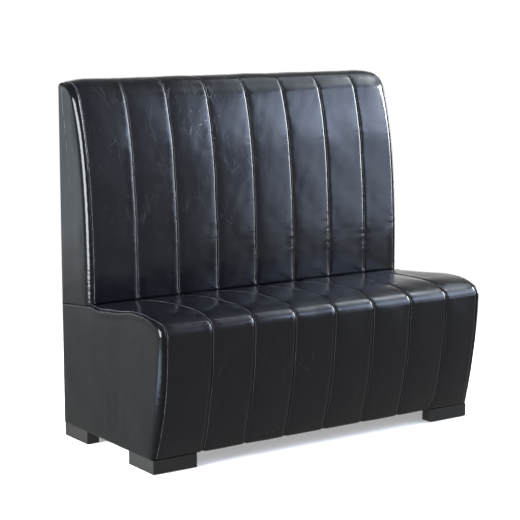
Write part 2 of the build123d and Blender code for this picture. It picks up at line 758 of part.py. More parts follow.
with BuildPart() as back_bottom_rail:
    add(run_along(bottom_rail_region.sketch, -frame_half, frame_half))
    add_rods(bottom_rail_top, bolt_points, bolt_radius + hole_gap, rail_thickness, mode=Mode.SUBTRACT)
    add_rods(
        bottom_rail_top,
        bolt_points,
        tee_nut_barrel_radius + hole_gap,
        tee_nut_barrel_length,
        mode=Mode.SUBTRACT,
    )
save(back_bottom_rail.part, "back_bottom_rail")
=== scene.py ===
# %% [markdown]
# # A restaurant booth bench in black leather
#
# This notebook dresses a imported CAD model of an upholstered booth bench. The CAD model holds the real sizes:
# plywood boxes, foam, corner legs and fasteners. What it lacks is the look of leather that has been cut, sewn
# and pulled over padding, and that is what we make here. We work in metres, in the frame of the CAD model: X
# runs along the bench, the front faces -Y, and Z is up.
#
# We keep its box at once, and read the bench's sizes from it.

import json
from math import asin, cos, pi, radians, sin, sqrt, tan

import bpy
import numpy as np
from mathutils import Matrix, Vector

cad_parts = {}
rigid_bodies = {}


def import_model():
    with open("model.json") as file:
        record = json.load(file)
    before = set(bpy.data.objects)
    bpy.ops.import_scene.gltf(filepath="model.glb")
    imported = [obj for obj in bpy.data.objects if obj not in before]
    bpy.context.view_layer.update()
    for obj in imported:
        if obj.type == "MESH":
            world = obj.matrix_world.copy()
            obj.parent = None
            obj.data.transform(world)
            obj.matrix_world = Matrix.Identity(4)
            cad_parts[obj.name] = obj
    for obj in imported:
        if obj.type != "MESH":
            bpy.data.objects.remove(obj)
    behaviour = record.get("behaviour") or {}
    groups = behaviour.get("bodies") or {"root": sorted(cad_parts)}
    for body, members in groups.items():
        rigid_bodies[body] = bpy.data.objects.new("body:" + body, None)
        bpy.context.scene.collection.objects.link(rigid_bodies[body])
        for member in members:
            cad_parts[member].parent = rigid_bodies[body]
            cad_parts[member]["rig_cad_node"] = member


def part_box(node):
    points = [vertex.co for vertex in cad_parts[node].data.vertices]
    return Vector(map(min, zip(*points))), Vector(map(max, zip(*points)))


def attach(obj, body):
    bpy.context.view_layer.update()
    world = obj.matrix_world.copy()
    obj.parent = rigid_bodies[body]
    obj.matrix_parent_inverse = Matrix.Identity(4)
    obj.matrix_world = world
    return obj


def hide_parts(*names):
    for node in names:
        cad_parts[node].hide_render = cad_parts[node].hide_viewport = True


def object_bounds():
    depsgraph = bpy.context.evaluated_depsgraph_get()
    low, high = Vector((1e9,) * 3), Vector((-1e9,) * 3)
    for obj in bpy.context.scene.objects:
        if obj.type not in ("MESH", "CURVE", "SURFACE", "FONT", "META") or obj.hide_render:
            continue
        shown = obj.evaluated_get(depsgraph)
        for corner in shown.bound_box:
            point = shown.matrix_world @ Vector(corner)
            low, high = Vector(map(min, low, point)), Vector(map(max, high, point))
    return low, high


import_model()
cad_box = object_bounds()

# %% [markdown]
# ## The camera
#
# The bench was photographed from its left front corner, a little above the back rest, through a long lens.
# These values come from fitting the legs' corners and the bench's straight edges, so the render and the
# photograph can be laid over each other. The picture is 520 pixels square.

# %% Place the camera
CAMERA_PLACE = (-2.915, -4.142, 1.365)
CAMERA_TILT = radians(80.81)
CAMERA_TURN = radians(-34.59)
FOCAL_PIXELS = 1621.4
PICTURE_PIXELS = 520
SENSOR_WIDTH = 36.0
FARTHEST_VIEW = 60.0

camera_data = bpy.data.cameras.new("camera")
camera_data.sensor_width = SENSOR_WIDTH
camera_data.lens = FOCAL_PIXELS / PICTURE_PIXELS * SENSOR_WIDTH
camera_data.clip_end = FARTHEST_VIEW
camera = bpy.data.objects.new("camera", camera_data)
camera.location = CAMERA_PLACE
camera.rotation_euler = (CAMERA_TILT, 0, CAMERA_TURN)
bpy.context.collection.objects.link(camera)
bpy.context.scene.camera = camera
print("lens", round(camera_data.lens, 2), "mm")

# %% [markdown]
# ## Sizes of the upholstery
#
# The leather follows two curves that run from front to back. One climbs the raked front, rolls over the lip
# and crosses the seat. The other climbs the back rest and rolls over its top. Both are chains of arcs and
# straight runs, and their sizes are the ones that the frame was built with. Overall lengths and the places of
# the seams are read from the frame.

# %% Read and name the sizes
MM = 0.001
HALF_WIDTH = cad_box[1][0]
REAR_Y = cad_box[1][1]
TOP_Z = cad_box[1][2]
LIP_Y = -REAR_Y
BASE_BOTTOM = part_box("dust_cover")[0][2]
CHANNELS = 8
SEAM_PLACES = [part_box(f"back_channel_{number}")[0][0] for number in range(1, CHANNELS + 1)]
SEAM_PLACES.append(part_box(f"back_channel_{CHANNELS}")[1][0])

COVER_INSET = 3 * MM
SEAT_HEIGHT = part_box("seat_channel_4")[1][2]
SEAT_CROWN_RADIUS = 1.6
SEAT_FLAT = 35 * MM
SEAT_PITCH = radians(5)
LIP_REACH = 125 * MM
LIP_DROP = 51 * MM
LIP_TURN = radians(20)
FRONT_SETBACK = 59 * MM
FRONT_TUCK = 6 * MM

LUMBAR_RISE = 37 * MM
LOWER_BOW = radians(6.5)
UPPER_BOW = radians(18)
BOW_SPLIT_SHARE = 0.6655
TOP_ROLL_RADIUS = 85 * MM
TOP_FLAT = 12 * MM
REAR_ROLL_RADIUS = 20 * MM

CREVICE_TUCK = 10 * MM
CREVICE_DROP = 25 * MM
CREVICE_OVERLAP = 5 * MM
HIDDEN_FLAP = 14 * MM
print("bench", 2 * HALF_WIDTH, "long,", 2 * REAR_Y, "deep,", TOP_Z, "high; seat", round(SEAT_HEIGHT, 4))
print("seams at", [round(place, 3) for place in SEAM_PLACES])

# %% [markdown]
# ## Curves as chains of arcs
#
# A Bezier curve drawn by eye could follow the profile, but an upholsterer's template is drawn with compasses,
# and so is ours. A chain is a list of pieces: an arc has a centre, a radius and two angles, and a line has
# two ends. Every piece is travelled with the outside of the bench on its left, so the outward normal of a
# line is its direction turned left, and that of an arc points away from its centre.

# %% Sample a chain of arcs and lines
def arc(centre, radius, start, end):
    """Piece of a chain: an arc from start to end, in radians."""
    return ("arc", centre, radius, start, end)


def line(start, end):
    """Piece of a chain: a straight run."""
    return ("line", start, end)


def piece_length(piece):
    """Length of a piece: radius times turn, or the distance between the ends."""
    if piece[0] == "arc":
        return piece[2] * abs(piece[4] - piece[3])
    return float(np.hypot(piece[2][0] - piece[1][0], piece[2][1] - piece[1][1]))


def sample_piece(piece, share):
    """Points and outward normals at the shares of a piece. On an arc both follow (cos, sin) of the angle."""
    if piece[0] == "arc":
        angle = piece[3] + share * (piece[4] - piece[3])
        normal = np.stack([np.cos(angle), np.sin(angle)], axis=-1)
        return np.array(piece[1]) + piece[2] * normal, normal
    start, end = np.array(piece[1]), np.array(piece[2])
    run = (end - start) / np.linalg.norm(end - start)
    points = start + share[:, None] * (end - start)
    return points, np.broadcast_to([-run[1], run[0]], points.shape)


def sample_chain(chain, step, closed=False):
    """Points, normals and travelled lengths along a chain, about one step apart, with the joints shared."""
    points, normals, lengths = [], [], []
    travelled = 0.0
    for piece in chain:
        length = piece_length(piece)
        count = max(2, int(round(length / step)))
        share = np.arange(count) / count
        place, normal = sample_piece(piece, share)
        points.append(place)
        normals.append(normal)
        lengths.append(travelled + share * length)
        travelled += length
    if not closed:
        place, normal = sample_piece(chain[-1], np.array([1.0]))
        points.append(place)
        normals.append(normal)
        lengths.append(np.array([travelled]))
    return np.concatenate(points), np.concatenate(normals), np.concatenate(lengths)


# %% [markdown]
# The seat curve is fixed by how far the lip reaches and drops, the turn of its upper arc and the set-back of
# the front at the floor side. The radii follow from those, because neighbouring arcs share a tangent. At the
# bottom the leather folds under the frame through a small arc that touches both the front and the floor side.
# At the rear it runs on under the foot of the back rest and dives there, so that no light can show through
# the crevice.

# %% Work out the seat curve
LIP_Z = SEAT_HEIGHT - LIP_DROP
lip_rate = (1 - cos(LIP_TURN)) / sin(LIP_TURN)
LIP_SMALL_RADIUS = (LIP_DROP - LIP_REACH * lip_rate) / (cos(LIP_TURN) - (1 - sin(LIP_TURN)) * lip_rate)
LIP_LARGE_RADIUS = (LIP_REACH - LIP_SMALL_RADIUS * (1 - sin(LIP_TURN))) / sin(LIP_TURN)
FLAT_FRONT_Y = LIP_Y + LIP_REACH
FLAT_REAR_Y = FLAT_FRONT_Y + SEAT_FLAT
CROWN_CENTRE_Z = SEAT_HEIGHT - SEAT_CROWN_RADIUS
front_height = LIP_Z - BASE_BOTTOM
FRONT_RADIUS = (FRONT_SETBACK**2 + front_height**2) / (2 * FRONT_SETBACK)


def seat_front(inset):
    """Seat curve from the fold under the front, over the lip, to the end of the flat, moved in by inset."""
    reach = FRONT_RADIUS - inset - FRONT_TUCK
    turn = asin((LIP_Z - BASE_BOTTOM - FRONT_TUCK) / reach)
    tuck_centre = (LIP_Y + FRONT_RADIUS - reach * cos(turn), BASE_BOTTOM + FRONT_TUCK)
    top_z = SEAT_HEIGHT - inset
    upper_centre = (FLAT_FRONT_Y, SEAT_HEIGHT - LIP_LARGE_RADIUS)
    return [
        arc(tuck_centre, FRONT_TUCK, 3 * pi / 2, pi + turn),
        arc((LIP_Y + FRONT_RADIUS, LIP_Z), FRONT_RADIUS - inset, pi + turn, pi),
        arc((LIP_Y + LIP_SMALL_RADIUS, LIP_Z), LIP_SMALL_RADIUS - inset, pi, pi / 2 + LIP_TURN),
        arc(upper_centre, LIP_LARGE_RADIUS - inset, pi / 2 + LIP_TURN, pi / 2),
        line((FLAT_FRONT_Y, top_z), (FLAT_REAR_Y, top_z)),
    ]


def seat_crown(inset, end_y):
    """Rear arc of the seat up to depth end_y. The turn is the arc sine of run over radius."""
    radius = SEAT_CROWN_RADIUS - inset
    return arc((FLAT_REAR_Y, CROWN_CENTRE_Z), radius, pi / 2, pi / 2 - asin((end_y - FLAT_REAR_Y) / radius))


def seat_chain(wall_y):
    """Seat curve of the channels, with flaps under the front and down at wall_y, below the back rest."""
    chain = seat_front(0)
    fold = chain[0][1]
    turn = asin((wall_y - CREVICE_TUCK - FLAT_REAR_Y) / (SEAT_CROWN_RADIUS - CREVICE_TUCK))
    tuck_z = CROWN_CENTRE_Z + (SEAT_CROWN_RADIUS - CREVICE_TUCK) * cos(turn)
    chain.insert(0, line((fold[0] + HIDDEN_FLAP, BASE_BOTTOM), (fold[0], BASE_BOTTOM)))
    chain.append(arc((FLAT_REAR_Y, CROWN_CENTRE_Z), SEAT_CROWN_RADIUS, pi / 2, pi / 2 - turn))
    chain.append(arc((wall_y - CREVICE_TUCK, tuck_z), CREVICE_TUCK, pi / 2 - turn, 0))
    chain.append(line((wall_y, tuck_z), (wall_y, tuck_z - CREVICE_DROP)))
    return chain


print("lip radii", round(LIP_SMALL_RADIUS, 4), round(LIP_LARGE_RADIUS, 4))
print("front radius", round(FRONT_RADIUS, 3))

# %% [markdown]
# The back curve starts upright at the seat, bows back through two arcs and rolls over the top. Where its face
# stands follows from the roll and the bows, as it did in the frame.

# %% Work out the back curve
ROLL_CENTRE = (REAR_Y - REAR_ROLL_RADIUS - TOP_FLAT, TOP_Z - TOP_ROLL_RADIUS)
REAR_ROLL_CENTRE = (REAR_Y - REAR_ROLL_RADIUS, TOP_Z - REAR_ROLL_RADIUS)
LUMBAR_Z = SEAT_HEIGHT + LUMBAR_RISE
bow_rise = ROLL_CENTRE[1] + TOP_ROLL_RADIUS * sin(UPPER_BOW) - LUMBAR_Z
LOWER_BOW_RADIUS = BOW_SPLIT_SHARE * bow_rise / sin(LOWER_BOW)
UPPER_BOW_RADIUS = (1 - BOW_SPLIT_SHARE) * bow_rise / (sin(UPPER_BOW) - sin(LOWER_BOW))
lower_lean = LOWER_BOW_RADIUS * (1 - cos(LOWER_BOW))
upper_lean = UPPER_BOW_RADIUS * (cos(LOWER_BOW) - cos(UPPER_BOW))
BACK_Y = ROLL_CENTRE[0] - TOP_ROLL_RADIUS * cos(UPPER_BOW) - lower_lean - upper_lean
joint_radius = SEAT_CROWN_RADIUS - COVER_INSET
JOINT_Z = CROWN_CENTRE_Z + sqrt(joint_radius**2 - (BACK_Y - FLAT_REAR_Y) ** 2)
upper_centre_z = LUMBAR_Z + LOWER_BOW_RADIUS * sin(LOWER_BOW) - UPPER_BOW_RADIUS * sin(LOWER_BOW)
upper_centre_y = BACK_Y + lower_lean + UPPER_BOW_RADIUS * cos(LOWER_BOW)


def joint_z(y):
    """Height of the sloping joint between base and back unit at depth y."""
    return JOINT_Z - (y - BACK_Y) * tan(SEAT_PITCH)


def back_rise(inset, start_z):
    """Back curve from height start_z on the face, over the top, to the rear edge, moved in by inset."""
    top_z = TOP_Z - inset
    return [
        line((BACK_Y + inset, start_z), (BACK_Y + inset, LUMBAR_Z)),
        arc((BACK_Y + LOWER_BOW_RADIUS, LUMBAR_Z), LOWER_BOW_RADIUS - inset, pi, pi - LOWER_BOW),
        arc((upper_centre_y, upper_centre_z), UPPER_BOW_RADIUS - inset, pi - LOWER_BOW, pi - UPPER_BOW),
        arc(ROLL_CENTRE, TOP_ROLL_RADIUS - inset, pi - UPPER_BOW, pi / 2),
        line((ROLL_CENTRE[0], top_z), (REAR_ROLL_CENTRE[0], top_z)),
        arc(REAR_ROLL_CENTRE, REAR_ROLL_RADIUS - inset, pi / 2, 0),
    ]


def back_chain():
    """Whole back curve of the channels, with a flap under the foot of the back unit."""
    foot_y, foot_z = BACK_Y + CREVICE_TUCK, JOINT_Z + CREVICE_TUCK
    return [
        line((foot_y + HIDDEN_FLAP, JOINT_Z), (foot_y, JOINT_Z)),
        arc((foot_y, foot_z), CREVICE_TUCK, 3 * pi / 2, pi),
        *back_rise(0, foot_z),
    ]


print("back face stands at", round(BACK_Y, 4), "joint", round(JOINT_Z, 4))

# %% [markdown]
# ## Unevenness that repeats
#
# Leather over padding is never flat. A pattern of a few slow waves with seeded directions is enough to break
# the straight reflections, and being a formula it is the same on every run. Neighbouring pieces read the same
# waves, so they still meet along their seams.

# %% Make a smooth random field
def waves(seed, count, shortest, longest):
    """Seeded wave numbers, directions and phases for a sum of sines."""
    source = np.random.default_rng(seed)
    length = np.exp(source.uniform(np.log(shortest), np.log(longest), count))
    angle = source.uniform(0, 2 * pi, count)
    phase = source.uniform(0, 2 * pi, count)
    return 2 * pi / length * np.cos(angle), 2 * pi / length * np.sin(angle), phase


def field(pattern, a, b):
    """Sum of sines over two coordinates in metres, scaled to about one."""
    wave_a, wave_b, phase = pattern
    total = np.sin(a[..., None] * wave_a + b[..., None] * wave_b + phase).sum(axis=-1)
    return total / sqrt(len(phase) / 2)


def smooth(low, high, value):
    """Smooth step from 0 at low to 1 at high: 3 t squared less 2 t cubed."""
    t = np.clip((value - low) / (high - low), 0, 1)
    return t * t * (3 - 2 * t)


SLOW = waves(11, 9, 0.12, 0.4)
MIDDLE = waves(12, 10, 0.04, 0.11)
PUCKER = waves(13, 12, 0.010, 0.024)
WAVER = waves(14, 5, 0.05, 0.3)

# %% [markdown]
# ## Where the seams run
#
# Seven upright seams join eight channels, in line on seat and back. The six inner channels are equal, and the
# two at the ends are wider on the left and narrower on the right, as on the photographed bench. The outermost
# seams join the channels to the side covers. On the back and down the front they lie 15 mm in from the side,
# and on top of the seat only 5 mm. Sewn by a hand-guided machine, each wavers by a fraction of a millimetre.
# The last seam on the right is pulled to the left where the leather is stretched over the leg.

# %% Place the seams
FRONT_WRAP = HALF_WIDTH - SEAM_PLACES[-1]
TOP_WRAP = 5 * MM
SEAM_WAVER = 0.5 * MM
SEAM_SHIFT = 3.1
LEG_PULL = 22 * MM
LEG_PULL_HEIGHT = 60 * MM
LIP_TURN_START = 8 * MM
LIP_TURN_END = 80 * MM


def on_seat(y):
    """Zero down the front, rising over the lip to one on top of the seat."""
    return smooth(LIP_Y + LIP_TURN_START, LIP_Y + LIP_TURN_END, y)


def wrap_width(name, y):
    """Width of the side cover's rim on the front, narrowing to a fold on top of the seat."""
    if name == "back":
        return np.full_like(y, FRONT_WRAP)
    return FRONT_WRAP + (TOP_WRAP - FRONT_WRAP) * on_seat(y)


def seam_x(number, curve):
    """Place along the bench of seam 0 to 8, for each point of a curve on the seat or the back."""
    y, z = curve["points"][:, 0], curve["points"][:, 1]
    if number in (0, CHANNELS):
        return (HALF_WIDTH - wrap_width(curve["name"], y)) * (-1 if number == 0 else 1)
    wavering = field(WAVER, curve["lengths"], np.full_like(z, SEAM_SHIFT * number))
    x = SEAM_PLACES[number] + SEAM_WAVER * wavering
    if number == CHANNELS - 1 and curve["name"] == "seat":
        x = x - LEG_PULL * np.clip(1 - (z - BASE_BOTTOM) / LEG_PULL_HEIGHT, 0, 1) ** 2
    return x


def make_curve(name, chain, step, closed=False):
    """A sampled chain with the name of its unit."""
    points, normals, lengths = sample_chain(chain, step, closed)
    return {"name": name, "points": points, "normals": normals, "lengths": lengths}


def resample(curve, lengths):
    """The same curve read at other travelled lengths, by straight interpolation between its points."""
    def read(key):
        return np.stack([np.interp(lengths, curve["lengths"], column) for column in curve[key].T], axis=-1)

    normals = read("normals")
    normals = normals / np.linalg.norm(normals, axis=-1, keepdims=True)
    return {"name": curve["name"], "points": read("points"), "normals": normals, "lengths": lengths}


ALONG_STEP = 3.2 * MM
SEAT_CURVE = make_curve("seat", seat_chain(BACK_Y + CREVICE_TUCK + CREVICE_OVERLAP), ALONG_STEP)
BACK_CURVE = make_curve("back", back_chain(), ALONG_STEP)
print("seat curve", len(SEAT_CURVE["points"]), "rows,", round(SEAT_CURVE["lengths"][-1], 3), "m")
print("back curve", len(BACK_CURVE["points"]), "rows,", round(BACK_CURVE["lengths"][-1], 3), "m")

# %% [markdown]
# ## How the ends droop
#
# The crown of the seat is carried by foam, but at each end the cover is pulled down to the plywood, so the
# seat sags by about 12 mm between lip and back rest. The ends of the back rest are pulled in as well, most at
# the top corners and less and less down to the middle of its height. Both are a depth along the curve times a
# falloff from the ends of the bench. Where the back curve has turned to face the rear, the pull has died out.

# %% Measure the droop
SEAT_SAG = 12 * MM
SEAT_SAG_REACH = 75 * MM
SEAT_SAG_START = (-140 * MM, -30 * MM)
SEAT_SAG_END = 60 * MM
TOP_SAG = 11 * MM
TOP_SAG_REACH = 80 * MM
TOP_SAG_DROP = (20 * MM, 360 * MM)


def droop_along(curve):
    """Depth of the droop at the very end of the bench, for each point of a curve."""
    y, z = curve["points"][:, 0], curve["points"][:, 1]
    if curve["name"] == "seat":
        return SEAT_SAG * smooth(*SEAT_SAG_START, y) * (1 - smooth(SEAT_SAG_END, BACK_Y, y)) * (z > LIP_Z)
    facing_rear = np.clip(curve["normals"][:, 0], 0, 1)
    return TOP_SAG * (1 - smooth(*TOP_SAG_DROP, TOP_Z - z)) * (1 - facing_rear**2)


def end_falloff(x, reach):
    """One at the ends of the bench, falling to zero with a smooth square over the reach."""
    inwards = np.clip((HALF_WIDTH - np.abs(x)) / reach, 0, 1)
    return (1 - inwards) ** 2


def droop(curve, x):
    """Droop for a grid: rows follow the curve, and x gives each point's place along the bench."""
    reach = SEAT_SAG_REACH if curve["name"] == "seat" else TOP_SAG_REACH
    return droop_along(curve)[:, None] * end_falloff(x, reach)


# %% [markdown]
# ## Meshes from arrays
#
# Every leather piece is a grid of points: rows along a curve, columns across. The helper below turns such an
# array into a mesh. It writes vertices and faces in one go, stores where each point lies on the hide, in
# metres, as a UV map, and keeps the distance to the nearest seam as an attribute, so that the materials can
# follow both.

# %% Turn grids into objects
def grid_faces(rows, columns, wrap_rows=False):
    """Corner numbers of the quads of a grid, as one array. With wrap_rows the last row joins the first."""
    row = np.arange(rows if wrap_rows else rows - 1)[:, None]
    column = np.arange(columns - 1)[None, :]
    first = row * columns + column
    second = (row + 1) % rows * columns + column
    return np.stack([first, first + 1, second + 1, second], axis=-1).reshape(-1, 4)


def new_object(name, vertices, faces, hide=None, from_seam=None):
    """Object at the origin from arrays of vertices and faces, smooth shaded, riding on the bench."""
    mesh = bpy.data.meshes.new(name)
    faces = faces if isinstance(faces, list) else faces.tolist()
    mesh.from_pydata(vertices.reshape(-1, 3).tolist(), [], faces)
    if hide is not None:
        layer = mesh.uv_layers.new(name="hide")
        corners = np.empty(len(mesh.loops), dtype=np.int32)
        mesh.loops.foreach_get("vertex_index", corners)
        layer.data.foreach_set("uv", hide.reshape(-1, 2)[corners].ravel())
    if from_seam is not None:
        attribute = mesh.attributes.new("from_seam", "FLOAT", "POINT")
        attribute.data.foreach_set("value", from_seam.ravel())
    mesh.polygons.foreach_set("use_smooth", np.ones(len(mesh.polygons), dtype=bool))
    mesh.update()
    piece = bpy.data.objects.new(name, mesh)
    bpy.context.collection.objects.link(piece)
    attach(piece, "root")
    return piece


def give_thickness(piece, thickness):
    """Solidify modifier that thickens a sheet against its normals, so that it is closed."""
    solid = piece.modifiers.new("thickness", "SOLIDIFY")
    solid.thickness = thickness
    solid.offset = -1


# %% [markdown]
# ## How the padding swells: a cloth simulation
#
# On the real bench the leather is held at its seams and pressed outwards by the foam. We simulate just that,
# on one coarse sheet for the seat and one for the back: the seams and the ends are pinned, the leather is a
# little larger than its outline, and air pressure stands in for the foam. Twenty frames are enough. We keep
# only how far each point has moved along its normal, scale that to about a millimetre, and add it to the fine
# surface later. Bending waves between the seams come out of it by themselves, which a formula would not give.

# %% Simulate the padding
PAD_SEGMENTS = 12
PAD_STEP = 12 * MM
PAD_FRAMES = 20
PAD_PRESSURE = 4.0
PAD_GROWTH = 0.02
PAD_SWELL = 1.1 * MM
PAD_SWELL_SHARE = 98
PAD_START = 0.4 * MM
PAD_QUALITY = 6
HIDE_MASS = 0.1
HIDE_STIFFNESS = 15
HIDE_BENDING = 0.05


def pad_columns():
    """Places along the bench of the sheet's columns: an even division of every channel, seams included."""
    share = np.arange(PAD_SEGMENTS) / PAD_SEGMENTS
    places = np.array(SEAM_PLACES)
    inside = places[:-1, None] + np.diff(places)[:, None] * share
    return np.append(inside.ravel(), places[-1])


def pinned_points(rows, columns):
    """Numbers of the points that the stitches hold: every seam's column, and the first and last row."""
    number = np.arange(rows * columns).reshape(rows, columns)
    held = np.concatenate([number[:, ::PAD_SEGMENTS].ravel(), number[0], number[-1]])
    return np.unique(held).tolist()


def set_up_cloth(sheet, held):
    """Cloth modifier for a leather sheet under pressure, held at the given points."""
    sheet.vertex_groups.new(name="held").add(held, 1.0, "REPLACE")
    cloth = sheet.modifiers.new("cloth", "CLOTH")
    settings = cloth.settings
    settings.quality = PAD_QUALITY
    settings.mass = HIDE_MASS
    settings.tension_stiffness = HIDE_STIFFNESS
    settings.compression_stiffness = HIDE_STIFFNESS
    settings.bending_stiffness = HIDE_BENDING
    settings.shrink_min = -PAD_GROWTH
    settings.use_pressure = True
    settings.uniform_pressure_force = PAD_PRESSURE
    settings.effector_weights.gravity = 0
    settings.vertex_group_mass = "held"
    cloth.point_cache.frame_start = 1
    cloth.point_cache.frame_end = PAD_FRAMES


def simulate_pad(curve):
    """Grid of movements along the normals, with the lengths and places of its rows and columns."""
    lengths = np.linspace(0, curve["lengths"][-1], int(curve["lengths"][-1] / PAD_STEP))
    columns = pad_columns()
    movement = np.zeros((len(lengths), len(columns)))
    rows = resample(curve, lengths)
    x = np.broadcast_to(columns, movement.shape)
    unevenness = PAD_START * field(MIDDLE, x, np.broadcast_to(lengths[:, None], x.shape))
    place = rows["points"][:, None, :] + unevenness[..., None] * rows["normals"][:, None, :]
    grid = np.concatenate([x[..., None], place], axis=-1)
    sheet = bpy.data.objects.new("pad", bpy.data.meshes.new("pad"))
    sheet.data.from_pydata(grid.reshape(-1, 3).tolist(), [], grid_faces(*x.shape).tolist())
    bpy.context.collection.objects.link(sheet)
    set_up_cloth(sheet, pinned_points(*x.shape))
    for frame_number in range(1, PAD_FRAMES + 1):
        bpy.context.scene.frame_set(frame_number)
    swollen = np.empty(grid.size)
    sheet.evaluated_get(bpy.context.evaluated_depsgraph_get()).data.vertices.foreach_get("co", swollen)
    travel = swollen.reshape(grid.shape)[..., 1:] - place
    swell = (travel * rows["normals"][:, None, :]).sum(axis=-1) + unevenness
    movement = swell * min(1.0, PAD_SWELL / float(np.percentile(np.abs(swell), PAD_SWELL_SHARE)))
    bpy.data.objects.remove(sheet)
    bpy.context.scene.frame_set(1)
    return {"rows": lengths, "columns": columns, "movement": movement}


def spline_weights(t):
    """Weights of the four nearest points for a cubic B-spline at t between the middle two."""
    return [(1 - t) ** 3 / 6, (3 * t**3 - 6 * t**2 + 4) / 6, (-3 * t**3 + 3 * t**2 + 3 * t + 1) / 6, t**3 / 6]


def read_pad(pad, lengths, x):
    """Movement at any place: a cubic B-spline over the simulated grid, smooth to the second degree."""
    rows, columns = len(pad["rows"]), len(pad["columns"])
    i = np.interp(lengths, pad["rows"], np.arange(rows))
    j = np.interp(x, pad["columns"], np.arange(columns))
    low_i, low_j = np.floor(i).astype(int), np.floor(j).astype(int)
    total = np.zeros_like(x)
    for step_i, weight_i in zip((-1, 0, 1, 2), spline_weights(i - low_i)):
        for step_j, weight_j in zip((-1, 0, 1, 2), spline_weights(j - low_j)):
            row, column = np.clip(low_i + step_i, 0, rows - 1), np.clip(low_j + step_j, 0, columns - 1)
            total = total + weight_i * weight_j * pad["movement"][row, column]
    return total


PADS = {"seat": simulate_pad(SEAT_CURVE), "back": simulate_pad(BACK_CURVE)}
for name, pad in PADS.items():
    spread = [round(float(value) / MM, 2) for value in np.percentile(pad["movement"], (1, 50, 99))]
    print(name, "pad moved by", spread, "mm")

# %% [markdown]
# ## The leather channels
#
# Each channel is a strip of leather sewn to its neighbours through a thin pad. Away from the seams it is
# nearly flat. Beside a seam it dives: the depth falls off exponentially with the distance from the stitches,
# which is what a stretched skin over soft foam does. Small puckers gather along the stitches and die out a
# finger's width away. They are strongest at the corners of the lip, where the leather turns in two directions
# at once. Along both edges a narrow flange goes down into the seam, so no gap can open there.

# %% Shape a channel
SEAM_DEPTH = 4.4 * MM
PRESSED_SEAM_DEPTH = 1.4 * MM
SEAM_FALL = 3.4 * MM
CHANNEL_CROWN = 0.5 * MM
PUCKER_HEIGHT = 0.3 * MM
PUCKER_REACH = 9 * MM
PUCKER_STRETCH = 0.35
LIP_GATHER = 2.5
LIP_GATHER_REACH = 60 * MM
LIP_GATHER_RISE = 20 * MM
LIP_GATHER_SPREAD = 35 * MM
TOP_STRETCH = (60 * MM, 5 * MM)
TOP_TIGHTNESS = 0.85
PRESSED = (4 * MM, 26 * MM)
SLOW_SWELL = 0.4 * MM
MIDDLE_SWELL = 0.12 * MM
SWELL_START = 20 * MM
FLANGE = 8 * MM
LEATHER_THICKNESS = 2.4 * MM
ACROSS = 44
EDGE_DENSITY = 1.9
HIDE_SHIFT = 0.77


def across_shares(count):
    """Shares of the width from -1 to 1, dense at both ends: one less a power of the distance from the end."""
    even = np.linspace(-1, 1, count)
    return np.sign(even) * (1 - (1 - np.abs(even)) ** EDGE_DENSITY)


def over_top(curve):
    """One where the leather is stretched over the top of the back rest, and zero on its face."""
    return smooth(TOP_Z - TOP_STRETCH[0], TOP_Z - TOP_STRETCH[1], curve["points"][:, 1])


def seam_depth(curve):
    """Depth of the seams: less over the top of the back rest, and where seat and back rest press together."""
    y, z = curve["points"][:, 0], curve["points"][:, 1]
    if curve["name"] == "back":
        pressed = over_top(curve) + 1 - smooth(JOINT_Z + PRESSED[0], JOINT_Z + PRESSED[1], z)
    else:
        pressed = smooth(BACK_Y - PRESSED[1], BACK_Y - PRESSED[0], y)
    return SEAM_DEPTH - (SEAM_DEPTH - PRESSED_SEAM_DEPTH) * pressed


def pucker_height(curve, x):
    """Height of the puckers: a small value, more at the ends of the lip."""
    from_lip = (curve["points"][:, 1] - LIP_Z - LIP_GATHER_RISE) / LIP_GATHER_SPREAD
    near_lip = np.exp(-(from_lip**2))[:, None] * (curve["name"] == "seat")
    return PUCKER_HEIGHT * (1 + LIP_GATHER * near_lip * end_falloff(x, LIP_GATHER_REACH))


def slow_swell(a, b):
    """Unevenness of the padding: slow waves and shorter ones, each at its own height."""
    return SLOW_SWELL * field(SLOW, a, b) + MIDDLE_SWELL * field(MIDDLE, a, b)


def channel_depth(curve, number, x):
    """Depth of a channel under its curve at places x, one row for each point of the curve."""
    left, right = seam_x(number, curve)[:, None], seam_x(number + 1, curve)[:, None]
    share = (2 * x - left - right) / (right - left)
    from_seam = np.minimum(x - left, right - x)
    length = np.broadcast_to(curve["lengths"][:, None], x.shape)
    depth = seam_depth(curve)[:, None] * np.exp(-from_seam / SEAM_FALL) + CHANNEL_CROWN * share**2
    puckers = pucker_height(curve, x) * field(PUCKER, length, x * PUCKER_STRETCH)
    depth = depth - puckers * np.exp(-from_seam / PUCKER_REACH)
    depth = depth + slow_swell(x, length) * (1 - np.exp(-from_seam / SWELL_START))
    swollen = read_pad(PADS[curve["name"]], length, x) * (1 - TOP_TIGHTNESS * over_top(curve))[:, None]
    return depth + droop(curve, x) - swollen, from_seam


def make_channel(curve, number):
    """One channel as an object that stands for its CAD node."""
    left, right = seam_x(number, curve)[:, None], seam_x(number + 1, curve)[:, None]
    share = np.concatenate([[-1], across_shares(ACROSS), [1]])
    x = (left + right) / 2 + (right - left) / 2 * share
    depth, from_seam = channel_depth(curve, number, x)
    depth[:, [0, -1]] += FLANGE
    place = curve["points"][:, None, :] - depth[..., None] * curve["normals"][:, None, :]
    grid = np.concatenate([x[..., None], place], axis=-1)
    hide = np.stack([x + number * HIDE_SHIFT, np.broadcast_to(curve["lengths"][:, None], x.shape)], axis=-1)
    node = f"{curve['name']}_channel_{number + 1}"
    piece = new_object(f"{node}_leather", grid, grid_faces(*x.shape), hide, from_seam)
    give_thickness(piece, LEATHER_THICKNESS)
    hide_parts(node)
    return piece


